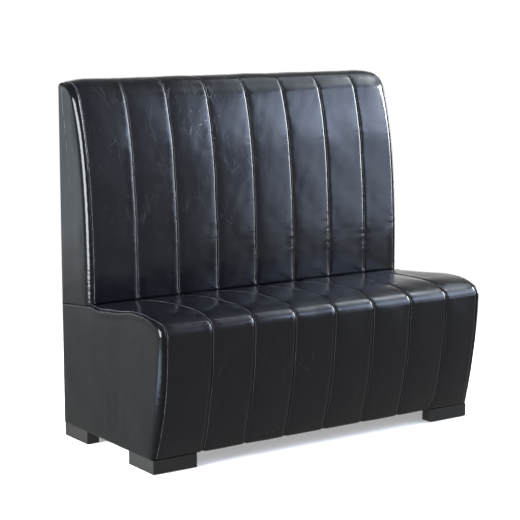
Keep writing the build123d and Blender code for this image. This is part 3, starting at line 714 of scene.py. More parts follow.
seat_channels = [make_channel(SEAT_CURVE, number) for number in range(CHANNELS)]
back_channels = [make_channel(BACK_CURVE, number) for number in range(CHANNELS)]
print("channels", len(seat_channels) + len(back_channels), "of", len(seat_channels[0].data.polygons), "quads")

# %% [markdown]
# ## The side covers
#
# Each end of the base and of the back unit is one plain panel, wrapped round on to the front as far as the
# outer seam. Its outline is a closed chain. A hem is tucked under the channels. From the seam the surface
# rounds over on to the side by a quarter of an ellipse, and from there rings shrink towards the middle of the
# panel, like the rings of a tree. That keeps every edge of the panel sharp or soft as we choose, all the way
# round, with one grid. The normals of this grid point into the bench, so the thickness of these covers grows
# outwards, while that of all other sheets grows inwards.

# %% Chains round the side panels
CORNER = 6 * MM
REAR_INSET = 1 * MM
JOINT_GAP = 2 * MM
LIP_ROLL = 13 * MM
BASE_ROLL = 42 * MM
BACK_ROLL = 29 * MM
BACK_FRONT_PIECES = 7


def joint_corner(y, side):
    """Centre at depth y of a corner arc that all but touches the joint, above it (side 1) or below (-1)."""
    return (y, joint_z(y) + side * (CORNER / cos(SEAT_PITCH) + JOINT_GAP))


def joint_touch(centre, side):
    """Where the corner arc with that centre touches the joint."""
    return (centre[0] - side * CORNER * sin(SEAT_PITCH), centre[1] - side * CORNER * cos(SEAT_PITCH))


def base_outline():
    """Closed chain round the end of the base: front, lip, seat, joint, rear and bottom."""
    rear = REAR_Y - REAR_INSET
    turn = joint_corner(rear - CORNER, -1)
    low = BASE_BOTTOM + CORNER
    chain = front_chain("seat")
    front_fold = chain[0][1]
    chain.append(line((BACK_Y, JOINT_Z), joint_touch(turn, -1)))
    chain.append(arc(turn, CORNER, pi / 2 - SEAT_PITCH, 0))
    chain.append(line((rear, turn[1]), (rear, low)))
    chain.append(arc((rear - CORNER, low), CORNER, 0, -pi / 2))
    chain.append(line((rear - CORNER, BASE_BOTTOM), (front_fold[0] + BASE_ROLL, BASE_BOTTOM)))
    return chain


def back_outline():
    """Closed chain round the end of the back unit: foot, face, top, rear and joint."""
    rear = REAR_Y - COVER_INSET
    foot = joint_corner(BACK_Y + COVER_INSET + CORNER, 1)
    heel = joint_corner(rear - CORNER, 1)
    chain = [arc(foot, CORNER, 3 * pi / 2 - SEAT_PITCH, pi), *back_rise(COVER_INSET, foot[1])]
    chain.append(line((rear, REAR_ROLL_CENTRE[1]), (rear, heel[1])))
    chain.append(arc(heel, CORNER, 0, -pi / 2 - SEAT_PITCH))
    behind = joint_corner(foot[0] + BACK_ROLL, 1)
    chain.append(line(joint_touch(heel, 1), joint_touch(behind, 1)))
    return chain


def front_chain(unit):
    """The stitched part of a side cover's outline: front, lip and seat, or face, top and rear edge."""
    if unit == "seat":
        return [*seat_front(COVER_INSET), seat_crown(COVER_INSET, BACK_Y)]
    return back_outline()[:BACK_FRONT_PIECES]


FRONT_LENGTH = {unit: sum(piece_length(piece) for piece in front_chain(unit)) for unit in ("seat", "back")}
print("rims of", {name: round(length, 3) for name, length in FRONT_LENGTH.items()}, "m")

# %% [markdown]
# The panel of the back is padded, so its front edge is a wide soft roll, which tightens at the top corner.
# The base's front edge is tight at the lip and widens towards the bottom. Beside the seam both are puckered
# by the stitches. The other edges are simply folded over the plywood.

# %% Shape a side cover
RINGS = 26
ROUND_STEPS = 14
FOLD = 5 * MM
SEAM_DIP = 2 * MM
SEAM_DIP_FALL = 3 * MM
HEM_WIDTH = 8 * MM
RIM_PUCKER = 0.5 * MM
SEAT_ROLL = 5 * MM
TOP_END_ROLL = 5 * MM
TOP_END_REACH = 240 * MM
SIDE_BELLY = 1.0 * MM
SIDE_BELLY_FALL = 25 * MM
SIDE_EDGE = 0.3 * MM
FAR_FROM_SEAM = 1.0


def rim_shape(curve):
    """Wrap and roll round an outline: the padded front as far as its seam, and plain folds elsewhere."""
    y, z, lengths = curve["points"][:, 0], curve["points"][:, 1], curve["lengths"]
    in_front = lengths <= FRONT_LENGTH[curve["name"]]
    wrap = np.where(in_front, wrap_width(curve["name"], y), FOLD)
    if curve["name"] == "seat":
        front_roll = LIP_ROLL + (BASE_ROLL - LIP_ROLL) * np.clip((LIP_Z - z) / (LIP_Z - BASE_BOTTOM), 0, 1)
        roll = SEAT_ROLL + (front_roll - SEAT_ROLL) * (1 - on_seat(y))
    else:
        to_end = np.clip((FRONT_LENGTH["back"] - lengths) / TOP_END_REACH, 0, 1)
        roll = TOP_END_ROLL + (BACK_ROLL - TOP_END_ROLL) * to_end
    return wrap, np.where(in_front, roll, FOLD), in_front


def rim_facing(curve, in_front):
    """Directions that the rim rolls back from: normals, but never lower than the face at a bottom fold."""
    normals = curve["normals"]
    lowest = seat_front(COVER_INSET)[0][4] if curve["name"] == "seat" else pi
    angle = np.arctan2(normals[:, 1], normals[:, 0]) % (2 * pi)
    angle = np.where(in_front, np.minimum(angle, lowest), angle)
    return np.stack([np.cos(angle), np.sin(angle)], axis=-1)


def rim_depth(wrap, roll, out, curve, in_front):
    """Depth of the rim at distance out from the side: the roll, dip and puckers by the seam, and droop."""
    share = np.clip(1 - out / wrap, 0, 1)
    depth = roll * (1 - np.sqrt(1 - share**2))
    from_seam = wrap - out
    dip = SEAM_DIP * np.exp(-from_seam / SEAM_DIP_FALL)
    ripple = field(PUCKER, curve["lengths"][:, None], from_seam)
    puckers = RIM_PUCKER * np.exp(-from_seam / PUCKER_REACH) * ripple
    return depth + (dip - puckers) * in_front + droop_along(curve)[:, None]


def cover_surface(curve, side):
    """Points, places on the hide and distances from the seam, one row for each point of the outline."""
    wrap, roll, in_front = (value[:, None] for value in rim_shape(curve))
    points, normals = curve["points"][:, None, :], rim_facing(curve, in_front[:, 0])[:, None, :]
    turn = np.linspace(0, pi / 2, ROUND_STEPS)
    out = wrap * (1 - np.sin(turn))
    depth = rim_depth(wrap, roll, out, curve, in_front)
    out = np.concatenate([wrap + HEM_WIDTH, wrap, out], axis=1)
    depth = np.concatenate([depth[:, :1] + FLANGE, depth[:, :1] + FLANGE, depth], axis=1)
    rim = points - depth[..., None] * normals
    centre = curve["points"].mean(axis=0)
    shrink = 1 - np.linspace(0, 1, RINGS)[1:-1]
    rings = centre + (rim[:, -1:, :] - centre) * shrink[None, :, None]
    from_rim = np.linalg.norm(rings - rim[:, -1:, :], axis=-1)
    y, z = rings[..., 0] * side, rings[..., 1]
    swell = SLOW_SWELL * field(SLOW, y, z) + MIDDLE_SWELL * field(MIDDLE, z, y)
    x_rings = HALF_WIDTH - SIDE_EDGE + (swell + SIDE_BELLY) * (1 - np.exp(-from_rim / SIDE_BELLY_FALL))
    x_rim = HALF_WIDTH - SIDE_EDGE * (1 - out / (wrap + HEM_WIDTH)) - out
    x = side * np.concatenate([x_rim, x_rings], axis=1)
    grid = np.concatenate([x[..., None], np.concatenate([rim, rings], axis=1)], axis=-1)
    round_length = np.hypot(wrap, roll) * np.append([0, 0], turn / (pi / 2))
    hide_rim = rim[:, -1:, :] + normals * (round_length[:, -1:] - round_length)[..., None]
    from_seam = np.concatenate([round_length, round_length[:, -1:] + from_rim], axis=1)
    from_seam = np.where(in_front, from_seam, FAR_FROM_SEAM)
    return grid, np.concatenate([hide_rim, rings], axis=1), from_seam, centre


def make_cover(end, unit, side):
    """A side cover: the grid of rings, closed by a fan in the middle. Its normals point into the bench."""
    outline = base_outline() if unit == "seat" else back_outline()
    curve = make_curve(unit, outline, ALONG_STEP, closed=True)
    grid, hide, from_seam, centre = cover_surface(curve, side)
    rows, columns = grid.shape[:2]
    row = np.arange(rows)
    last = row * columns + columns - 1
    following = (row + 1) % rows * columns + columns - 1
    fan = np.stack([last, np.full_like(last, rows * columns), following], axis=-1)
    quads = grid_faces(rows, columns, wrap_rows=True)
    faces = [*(quads if side < 0 else quads[:, ::-1]).tolist(), *(fan if side < 0 else fan[:, ::-1]).tolist()]
    belly = side * (HALF_WIDTH - SIDE_EDGE + SIDE_BELLY)
    vertices = np.concatenate([grid.reshape(-1, 3), [[belly, *centre]]])
    hide = np.concatenate([hide.reshape(-1, 2), [centre]])
    node = f"{end}_{'base' if unit == 'seat' else 'back'}_cover"
    piece = new_object(f"{node}_leather", vertices, faces, hide, np.append(from_seam.ravel(), FAR_FROM_SEAM))
    give_thickness(piece, LEATHER_THICKNESS)
    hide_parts(node)
    return piece


ENDS = ((-1, "left"), (1, "right"))
side_covers = [make_cover(end, unit, side) for side, end in ENDS for unit in ("seat", "back")]
print("side covers", {piece.name: len(piece.data.polygons) for piece in side_covers})

# %% [markdown]
# ## Stitches
#
# The seams are sewn with a thick, dark grey nylon thread. Every inner seam has one row of topstitching a few
# millimetres to its right, and the seams to the side covers have a row on either side. The row on the
# covers lies about 5 mm under their leather, so it doesn't show. A stitch is a capsule that narrows at both
# ends, where the thread goes down into the leather. The stitches of a unit are two meshes, made from one
# capsule by broadcasting: its rings are placed along the run of the seam, at each stitch's own place and
# turn.

# %% Sew the seams
STITCH_PITCH = 4.6 * MM
STITCH_LENGTH = 3.7 * MM
STITCH_RADIUS = 0.46 * MM
STITCH_SLANT = radians(5)
STITCH_PROUD = 0.12 * MM
TOPSTITCH_OFFSET = 3.2 * MM
EDGE_OFFSET = 4.2 * MM
RING_PLACES = np.array([-0.5, -0.36, 0.0, 0.36, 0.5])
RING_RADII = np.array([0.5, 0.9, 1.0, 0.9, 0.5])
RING_POINTS = 6


def stitch_places(curve, skip):
    """Lengths of the stitches along a curve, leaving out the folds at both ends."""
    return np.arange(skip[0], curve["lengths"][-1] - skip[1], STITCH_PITCH)


def channel_row(curve, number, offset, skip):
    """Stitch centres, runs and normals of one row on a channel, beside seam number."""
    rows = resample(curve, stitch_places(curve, skip))
    x = seam_x(number, rows) + offset
    depth, _ = channel_depth(rows, number if offset > 0 else number - 1, x[:, None])
    return frame_row(rows, x, depth[:, 0])


def cover_row(curve, side, offset, skip):
    """The same for a row beside the outer seam in a side cover's rim, under its leather."""
    rows = resample(curve, stitch_places(curve, skip))
    wrap, roll, in_front = (value[:, None] for value in rim_shape(rows))
    out = wrap - offset
    depth = COVER_INSET + rim_depth(wrap, roll, out, rows, in_front)
    return frame_row(rows, side * (HALF_WIDTH - out[:, 0]), depth[:, 0])


def frame_row(rows, x, depth):
    """Centres of stitches, with the run and the normal of the curve, as arrays of 3-D vectors."""
    place = rows["points"] - (depth - STITCH_PROUD)[:, None] * rows["normals"]
    zero = np.zeros(len(x))
    normal = np.stack([zero, rows["normals"][:, 0], rows["normals"][:, 1]], axis=-1)
    run = np.stack([zero, rows["normals"][:, 1], -rows["normals"][:, 0]], axis=-1)
    return np.stack([x, place[:, 0], place[:, 1]], axis=-1), run, normal


def sew(name, rows):
    """One mesh of capsules. Ring point: centre + run times place + radius (cos of side + sin of normal)."""
    centre, run, normal = (np.concatenate(values)[:, None, None, :] for values in zip(*rows))
    side = np.cross(run, normal)
    slanted = cos(STITCH_SLANT) * run + sin(STITCH_SLANT) * side
    angle = np.arange(RING_POINTS) * 2 * pi / RING_POINTS
    along = (RING_PLACES * STITCH_LENGTH)[None, :, None, None]
    radius = (RING_RADII * STITCH_RADIUS)[None, :, None, None]
    around = np.cos(angle)[None, None, :, None] * side + np.sin(angle)[None, None, :, None] * normal
    vertices = centre + along * slanted + radius * around
    count, rings, points = vertices.shape[:3]
    corner = np.arange(rings * points).reshape(rings, points)
    following = np.roll(corner, -1, axis=1)
    quads = np.stack([corner[:-1], corner[1:], following[1:], following[:-1]], axis=-1).reshape(-1, 4)
    first = np.arange(count)[:, None] * rings * points
    faces = (first[..., None] + quads).reshape(-1, 4).tolist()
    faces += (first + corner[0]).tolist() + (first + corner[-1, ::-1]).tolist()
    piece = new_object(name, vertices, faces)
    return piece


SEAT_SKIP = (HIDDEN_FLAP + 8 * MM, CREVICE_DROP + 12 * MM)
BACK_SKIP = (HIDDEN_FLAP + 14 * MM, 12 * MM)
RIM_SKIP = (8 * MM, 12 * MM)
OUTER_SEAMS = ((0, EDGE_OFFSET), (CHANNELS, -EDGE_OFFSET))
threads = []
for curve, skip in ((SEAT_CURVE, SEAT_SKIP), (BACK_CURVE, BACK_SKIP)):
    inner = [channel_row(curve, number, TOPSTITCH_OFFSET, skip) for number in range(1, CHANNELS)]
    edges = [channel_row(curve, number, offset, skip) for number, offset in OUTER_SEAMS]
    rim = make_curve(curve["name"], front_chain(curve["name"]), ALONG_STEP)
    rims = [cover_row(rim, side, EDGE_OFFSET, RIM_SKIP) for side in (-1, 1)]
    threads.append(sew(f"{curve['name']}_topstitches", inner))
    threads.append(sew(f"{curve['name']}_edge_stitches", edges + rims))
print("stitches", {piece.name: len(piece.data.polygons) for piece in threads})

# %% [markdown]
# ## Sheets that close the rear and the underside
#
# Nobody looks at the rear of a wall bench, so it gets flat sheets of vinyl with a turned hem all round, and
# the underside a thin black cloth that keeps dust out. Each sheet is one grid in the plane of its CAD node,
# dense at the edges where the hem is, with a slight unevenness where it isn't glued down.

# %% Make the flat sheets
SHEET_HEM = 14 * MM
HEM_HEIGHT = 0.7 * MM
HEM_STEP = 1.5 * MM
SHEET_THICKNESS = 0.8 * MM
SHEET_SAG = 0.6 * MM
SHEET_SAG_REACH = 60 * MM
SLACK_LIMIT = 1.5
SLACK_SPREAD = 2.5
SHEET_COLUMNS = 150
SHEET_ROWS = 90


def sheet_relief(across, along, half_across, half_along):
    """Height of a sheet: a raised hem at the edge, and slow unevenness inside it."""
    from_edge = np.minimum(half_across - np.abs(across), half_along - np.abs(along))
    hem = HEM_HEIGHT * (1 - smooth(SHEET_HEM, SHEET_HEM + HEM_STEP, from_edge))
    slack = (field(SLOW, across, along) - SLACK_LIMIT) / SLACK_SPREAD
    sag = SHEET_SAG * slack * smooth(SHEET_HEM, SHEET_HEM + SHEET_SAG_REACH, from_edge)
    return hem + np.clip(sag, -2 * SHEET_SAG, 0), from_edge


def make_sheet(node, facing):
    """A hemmed sheet for a thin flat node, which faces the "rear" or the "floor"."""
    low, high = (np.array(corner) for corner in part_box(node))
    middle, half = (low + high) / 2, (high - low) / 2
    up = 2 if facing == "rear" else 1
    across = np.broadcast_to(across_shares(SHEET_COLUMNS) * half[0], (SHEET_ROWS, SHEET_COLUMNS))
    along = np.broadcast_to((across_shares(SHEET_ROWS) * half[up])[:, None], across.shape)
    relief, from_edge = sheet_relief(across, along, half[0], half[up])
    grid = np.empty((*across.shape, 3))
    grid[..., 0] = middle[0] + across
    grid[..., up] = middle[up] + along
    if facing == "rear":
        grid[..., 1] = high[1] - HEM_HEIGHT + relief
    else:
        grid[..., 2] = low[2] + HEM_HEIGHT - relief
    quads = grid_faces(*across.shape)
    piece = new_object(f"{node}_sheet", grid, quads[:, ::-1], np.stack([across, along], axis=-1), from_edge)
    give_thickness(piece, SHEET_THICKNESS)
    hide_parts(node)
    return piece


rear_sheets = [make_sheet(node, "rear") for node in ("base_rear_cover", "back_rear_cover")]
dust_sheet = make_sheet("dust_cover", "floor")
print("sheets", [piece.name for piece in [*rear_sheets, dust_sheet]])

# %% [markdown]
# ## Building blocks for materials
#
# Every material is a tree of procedural nodes. Effects that several materials share are node groups, which
# put out only heights and masks. The heights are in millimetres, so a Bump node with a distance of one
# millimetre reads them as they are.

# %% Helpers for shader trees
def add_node(tree, kind, inputs=None, **settings):
    """New node with its settings made, and its sockets set to values or linked to other sockets."""
    node = tree.nodes.new(kind)
    for name, value in settings.items():
        setattr(node, name, value)
    for name, value in (inputs or {}).items():
        if isinstance(value, bpy.types.NodeSocket):
            tree.links.new(value, node.inputs[name])
        else:
            node.inputs[name].default_value = value
    return node


def calculate(tree, operation, first, second=0.0):
    """Result of a Math node on two numbers or sockets."""
    return add_node(tree, "ShaderNodeMath", {0: first, 1: second}, operation=operation).outputs[0]


def times(tree, first, second):
    """Product of two numbers or sockets."""
    return calculate(tree, "MULTIPLY", first, second)


def plus(tree, first, *others):
    """Sum of numbers or sockets."""
    total = first
    for value in others:
        total = calculate(tree, "ADD", total, value)
    return total


def vector_math(tree, operation, inputs):
    """The outputs of a Vector Math node."""
    return add_node(tree, "ShaderNodeVectorMath", inputs, operation=operation).outputs


def split(tree, vector):
    """The X, Y and Z of a vector socket."""
    return add_node(tree, "ShaderNodeSeparateXYZ", {0: vector}).outputs


def step_between(tree, value, low, high, start=0.0, end=1.0):
    """Smooth step from start at low to end at high."""
    sockets = {"Value": value, "From Min": low, "From Max": high, "To Min": start, "To Max": end}
    return add_node(tree, "ShaderNodeMapRange", sockets, interpolation_type="SMOOTHSTEP").outputs["Result"]


def noise(tree, place, scale, detail=2.0, roughness=0.5):
    """Noise between 0 and 1, scale in cycles a metre."""
    sockets = {"Vector": place, "Scale": scale, "Detail": detail, "Roughness": roughness}
    return add_node(tree, "ShaderNodeTexNoise", sockets).outputs["Fac"]


def cell_edges(tree, place, scale):
    """Distance to the edges of Voronoi cells, in shares of a cell, scale in cells a metre."""
    sockets = {"Vector": place, "Scale": scale}
    return add_node(tree, "ShaderNodeTexVoronoi", sockets, feature="DISTANCE_TO_EDGE").outputs["Distance"]


def shifted(tree, place, scale, amount):
    """Place pushed about by noise, so that straight cell edges turn into wandering ones."""
    cloud = add_node(tree, "ShaderNodeTexNoise", {"Vector": place, "Scale": scale, "Detail": 2.0})
    centred = vector_math(tree, "SUBTRACT", {0: cloud.outputs["Color"], 1: (0.5, 0.5, 0.5)})[0]
    push = vector_math(tree, "SCALE", {0: centred, "Scale": amount})[0]
    return vector_math(tree, "ADD", {0: place, 1: push})[0]


def new_group(name, inputs, outputs):
    """Empty node group with named sockets, and the nodes where it is entered and left."""
    group = bpy.data.node_groups.new(name, "ShaderNodeTree")
    for socket, kind in inputs.items():
        group.interface.new_socket(socket, in_out="INPUT", socket_type=kind)
    for socket in outputs:
        group.interface.new_socket(socket, in_out="OUTPUT", socket_type="NodeSocketFloat")
    return group, group.nodes.new("NodeGroupInput").outputs, group.nodes.new("NodeGroupOutput").inputs


def use_group(tree, group, inputs):
    """Outputs of a node group placed in a material."""
    return add_node(tree, "ShaderNodeGroup", inputs, node_tree=group).outputs


# %% [markdown]
# ## What leather surfaces have in common
#
# Corrected leather is embossed with a pebble grain about a millimetre wide. Where the hide was flexed it has
# fine creases, in patches, and there the dark finish is thinner and looks lighter. Over that lies a slow
# mottle from buffing. Beside a seam every stitch pulls the leather into a small pucker.

# %% Groups for leather
GRAIN_CELLS = 780.0
GRAIN_WANDER = (500.0, 0.0008)
GRAIN_EDGE = 0.3
GRAIN_HEIGHT = 0.014
CREASE_TURN = radians(24)
CREASE_STRETCH = 0.2
CREASE_SIZES = ((CREASE_TURN, 30.0, 0.014), (-CREASE_TURN, 55.0, 0.018), (CREASE_TURN / 3, 90.0, 0.024))
CREASE_WANDER = (0.5, 0.4)
CREASE_BREAK_SCALE = 0.7
CREASE_BREAKS = (0.48, 0.7)
CREASE_DEPTH = 0.03
PATCH_SCALE = 6.0
PATCH_EDGES = (0.38, 0.62)
PATCH_LEAST = 0.12
CLOUD = (7.0, 3.0, 0.55)
DAPPLE, DAPPLE_HEIGHT = (60.0, 3.0, 0.6), 0.07
RIPPLE, RIPPLE_HEIGHT = (170.0, 2.0, 0.6), 0.06
STITCH_PUCKER = 0.2
STITCH_PUCKER_FALL = 4 * MM


def grain_group():
    """Pebble grain: cells about a millimetre wide, rounded at their edges. Height in millimetres."""
    group, entry, leave = new_group("hide_grain", {"Place": "NodeSocketVector"}, ["Height"])
    edges = cell_edges(group, shifted(group, entry["Place"], *GRAIN_WANDER), GRAIN_CELLS)
    pebble = step_between(group, edges, 0.0, GRAIN_EDGE, 0.0, GRAIN_HEIGHT)
    group.links.new(pebble, leave["Height"])
    return group


def crease_group():
    """Creases: thin lines that fork, along the edges of stretched Voronoi cells. Mask, and height in mm."""
    group, entry, leave = new_group("hide_creases", {"Place": "NodeSocketVector"}, ["Mask", "Height"])
    total = None
    for turn, scale, width in CREASE_SIZES:
        sockets = {"Vector": entry["Place"], "Rotation": (0, 0, turn)}
        turned = add_node(group, "ShaderNodeMapping", sockets, vector_type="TEXTURE").outputs[0]
        wandering = shifted(group, turned, CREASE_WANDER[0] * scale, CREASE_WANDER[1] / scale)
        sockets = {"Vector": wandering, "Scale": (1.0, CREASE_STRETCH, 1.0)}
        stretched = add_node(group, "ShaderNodeMapping", sockets).outputs[0]
        lines = step_between(group, cell_edges(group, stretched, scale), 0.0, width, 1.0, 0.0)
        broken = step_between(group, noise(group, stretched, CREASE_BREAK_SCALE * scale), *CREASE_BREAKS)
        lines = times(group, lines, broken)
        total = lines if total is None else calculate(group, "MAXIMUM", total, lines)
    patches = step_between(group, noise(group, entry["Place"], PATCH_SCALE), *PATCH_EDGES, PATCH_LEAST, 1.0)
    mask = times(group, total, patches)
    group.links.new(mask, leave["Mask"])
    group.links.new(times(group, mask, -CREASE_DEPTH), leave["Height"])
    return group


def mottle_group():
    """Slow cloud between 0 and 1, and the swelling of soft padding as dapples and ripples, in millimetres."""
    group, entry, leave = new_group("hide_mottle", {"Place": "NodeSocketVector"}, ["Cloud", "Height"])
    cloud = noise(group, entry["Place"], *CLOUD)
    dapple = noise(group, entry["Place"], *DAPPLE)
    group.links.new(cloud, leave["Cloud"])
    ripple = noise(group, entry["Place"], *RIPPLE)
    height = plus(group, times(group, dapple, DAPPLE_HEIGHT), times(group, ripple, RIPPLE_HEIGHT))
    group.links.new(height, leave["Height"])
    return group


def pucker_group():
    """Puckers: a sine along the seam, one wave for each stitch, dying out a few millimetres from it."""
    sockets = {"Along": "NodeSocketFloat", "From Seam": "NodeSocketFloat"}
    group, entry, leave = new_group("stitch_puckers", sockets, ["Height"])
    wave = calculate(group, "SINE", times(group, entry["Along"], 2 * pi / STITCH_PITCH))
    fading = calculate(group, "EXPONENT", times(group, entry["From Seam"], -1 / STITCH_PUCKER_FALL))
    group.links.new(times(group, times(group, wave, fading), STITCH_PUCKER), leave["Height"])
    return group


GRAIN, CREASES, MOTTLE, PUCKERS = grain_group(), crease_group(), mottle_group(), pucker_group()
print("groups", [group.name for group in bpy.data.node_groups])

# %% [markdown]
# ## Black leather for channels, sides and rear
#
# The hide is dyed black with a trace of blue, and its clear finish reflects little: an index of 1.27, or 1.2
# on the sides, gives the dim, even sheen of the photograph. The channels are flexed most and get the
# strongest creases, most of them left of the middle and high up, where the photograph shows them. The side
# panels have long upright veins, so their places are squeezed along the height before the same groups read
# them.

# %% Leather materials
MIX_FACTOR, MIX_FIRST, MIX_SECOND, MIX_RESULT = 0, 6, 7, 2
WORN_MIDDLE = -220 * MM
WORN_SIDEWAYS = (140 * MM, 400 * MM)
WORN_UPWARDS = (600 * MM, 1000 * MM)
WORN_AT_ENDS = 0.2
WORN_LOW_DOWN = 0.12
SMOOTH_BY_SEAM = (12 * MM, 40 * MM)
CLOUDY = (0.3, 0.7, -0.03, 0.04)
WORN_ROUGHER = 0.1


def mix_colours(tree, factor, first, second):
    """Colour between two, by a factor. A Mix node keeps its colour sockets at these numbers."""
    sockets = {MIX_FACTOR: factor, MIX_FIRST: (*first, 1), MIX_SECOND: (*second, 1)}
    return add_node(tree, "ShaderNodeMix", sockets, data_type="RGBA").outputs[MIX_RESULT]


def new_material(name):
    """Material with its tree and its Principled shader."""
    material = bpy.data.materials.new(name)
    material.use_nodes = True
    return material, material.node_tree, material.node_tree.nodes["Principled BSDF"]


def give_relief(tree, shader, height, index):
    """Bump from a height in millimetres, and the refractive index of the finish."""
    bump = add_node(tree, "ShaderNodeBump", {"Height": height, "Distance": MM, "Strength": 1.0})
    tree.links.new(bump.outputs["Normal"], shader.inputs["Normal"])
    shader.inputs["IOR"].default_value = index


def worn_area(tree):
    """Mask of the worn part, left of the middle and high up, from the object's own coordinates."""
    axes = split(tree, add_node(tree, "ShaderNodeTexCoord").outputs["Object"])
    from_middle = calculate(tree, "ABSOLUTE", plus(tree, axes["X"], -WORN_MIDDLE))
    sideways = step_between(tree, from_middle, *WORN_SIDEWAYS, 1.0, WORN_AT_ENDS)
    upwards = step_between(tree, axes["Z"], *WORN_UPWARDS, WORN_LOW_DOWN, 1.0)
    return times(tree, sideways, upwards)


def leather(
    name, colour, worn_colour, roughness, crease_share, wear=None, index=1.27, squeeze=1.0, dapple_share=1.0
):
    """Black leather, smoother by the seams. Its bump adds grain, creases, dapples and puckers."""
    material, tree, shader = new_material(name)
    hide = add_node(tree, "ShaderNodeUVMap", uv_map="hide").outputs["UV"]
    along = split(tree, hide)["Y"]
    from_seam = add_node(tree, "ShaderNodeAttribute", attribute_name="from_seam").outputs["Fac"]
    place = add_node(tree, "ShaderNodeMapping", {"Vector": hide, "Scale": (1.0, squeeze, 1.0)}).outputs[0]
    grain = use_group(tree, GRAIN, {"Place": hide})
    creases = use_group(tree, CREASES, {"Place": place})
    mottle = use_group(tree, MOTTLE, {"Place": place})
    puckers = use_group(tree, PUCKERS, {"Along": along, "From Seam": from_seam})
    area = wear(tree) if wear else 1.0
    worn = times(tree, times(tree, creases["Mask"], area), crease_share)
    tree.links.new(mix_colours(tree, worn, colour, worn_colour), shader.inputs["Base Color"])
    stretched = step_between(tree, from_seam, *SMOOTH_BY_SEAM, *roughness)
    cloudy = step_between(tree, mottle["Cloud"], *CLOUDY)
    rough = plus(tree, stretched, cloudy, times(tree, worn, WORN_ROUGHER))
    tree.links.new(rough, shader.inputs["Roughness"])
    dapples = times(tree, mottle["Height"], dapple_share)
    folds = times(tree, creases["Height"], area)
    height = plus(tree, grain["Height"], folds, dapples, puckers["Height"])
    give_relief(tree, shader, height, index)
    return material


channel_leather = leather(
    "black_channel_leather", (0.0017, 0.0019, 0.003), (0.07, 0.073, 0.084), (0.115, 0.225), 1.0,
    wear=worn_area,
)
side_leather = leather(
    "black_side_leather", (0.001, 0.0012, 0.0014), (0.012, 0.013, 0.014), (0.12, 0.3), 0.2,
    index=1.2, squeeze=0.25, dapple_share=0.8,
)
rear_vinyl = leather(
    "black_rear_vinyl", (0.003, 0.003, 0.0032), (0.008, 0.008, 0.009), (0.35, 0.38), 0.1, dapple_share=0.4
)
for pieces, material in (
    (seat_channels + back_channels, channel_leather), (side_covers, side_leather), (rear_sheets, rear_vinyl)
):
    for piece in pieces:
        piece.data.materials.append(material)
print("leathers", [material.name for material in (channel_leather, side_leather, rear_vinyl)])

# %% [markdown]
# ## Thread, cloth, wood, foam and metal
#
# The thread is twisted from plies, which shows as fine slanting ridges. The dust cloth is a non-woven felt of
# pressed fibres. The legs are lacquered black over a close-grained wood, whose figure only just shows
# through. Inside, the plywood, foam, zinced screws and nylon glides keep the shapes of the CAD model and get
# a finish each.

# %% Other materials
TWIST_RATE = 9000.0
FIBRES, FIBRE_STRETCH = (900.0, 3.0, 0.7), 0.12
FIGURE_STRETCH, FIGURE_WANDER, FIGURE_DETAIL = 0.06, (9.0, 0.02), (4.0, 0.6)
SPECKLE_DETAIL = (3.0, 0.6)
FOAM_CELLS, FOAM_CELL_EDGE = 900.0, 0.25


def object_place(tree, scale=(1.0, 1.0, 1.0)):
    """The object's own coordinates in metres, scaled by axis."""
    place = add_node(tree, "ShaderNodeTexCoord").outputs["Object"]
    return add_node(tree, "ShaderNodeMapping", {"Vector": place, "Scale": scale}).outputs[0]


def finish_material(name, tones, roughness, pattern, bump_height, metallic=0.0, index=1.45):
    """Material whose colour, roughness and bump all follow one pattern between 0 and 1."""
    material, tree, shader = new_material(name)
    value = pattern(tree)
    colours = add_node(tree, "ShaderNodeValToRGB", {"Fac": value})
    for element, tone in zip(colours.color_ramp.elements, tones):
        element.color = (*tone, 1)
    tree.links.new(colours.outputs["Color"], shader.inputs["Base Color"])
    tree.links.new(step_between(tree, value, 0.0, 1.0, *roughness), shader.inputs["Roughness"])
    give_relief(tree, shader, times(tree, value, bump_height), index)
    shader.inputs["Metallic"].default_value = metallic
    return material


def twisted(tree):
    """Slanting ridges 0.4 mm apart."""
    slope = plus(tree, *split(tree, object_place(tree)))
    ridges = calculate(tree, "SINE", times(tree, slope, TWIST_RATE))
    return step_between(tree, ridges, -1.0, 1.0)


def felted(tree):
    """Pressed fibres: two stretched noises laid across each other."""
    first = noise(tree, object_place(tree, (1.0, FIBRE_STRETCH, 1.0)), *FIBRES)
    second = noise(tree, object_place(tree, (FIBRE_STRETCH, 1.0, 1.0)), *FIBRES)
    return calculate(tree, "MAXIMUM", first, second)


def wood_figure(scale):
    """Pattern of long wood fibres along X."""
    def pattern(tree):
        stretched = object_place(tree, (FIGURE_STRETCH, 1.0, 1.0))
        return noise(tree, shifted(tree, stretched, *FIGURE_WANDER), scale, *FIGURE_DETAIL)

    return pattern


def speckle(scale):
    """Pattern of even fine noise."""
    return lambda tree: noise(tree, object_place(tree), scale, *SPECKLE_DETAIL)


def open_cells(tree):
    """Open cells of foam, from the distance to cell edges."""
    return step_between(tree, cell_edges(tree, object_place(tree), FOAM_CELLS), 0.0, FOAM_CELL_EDGE)


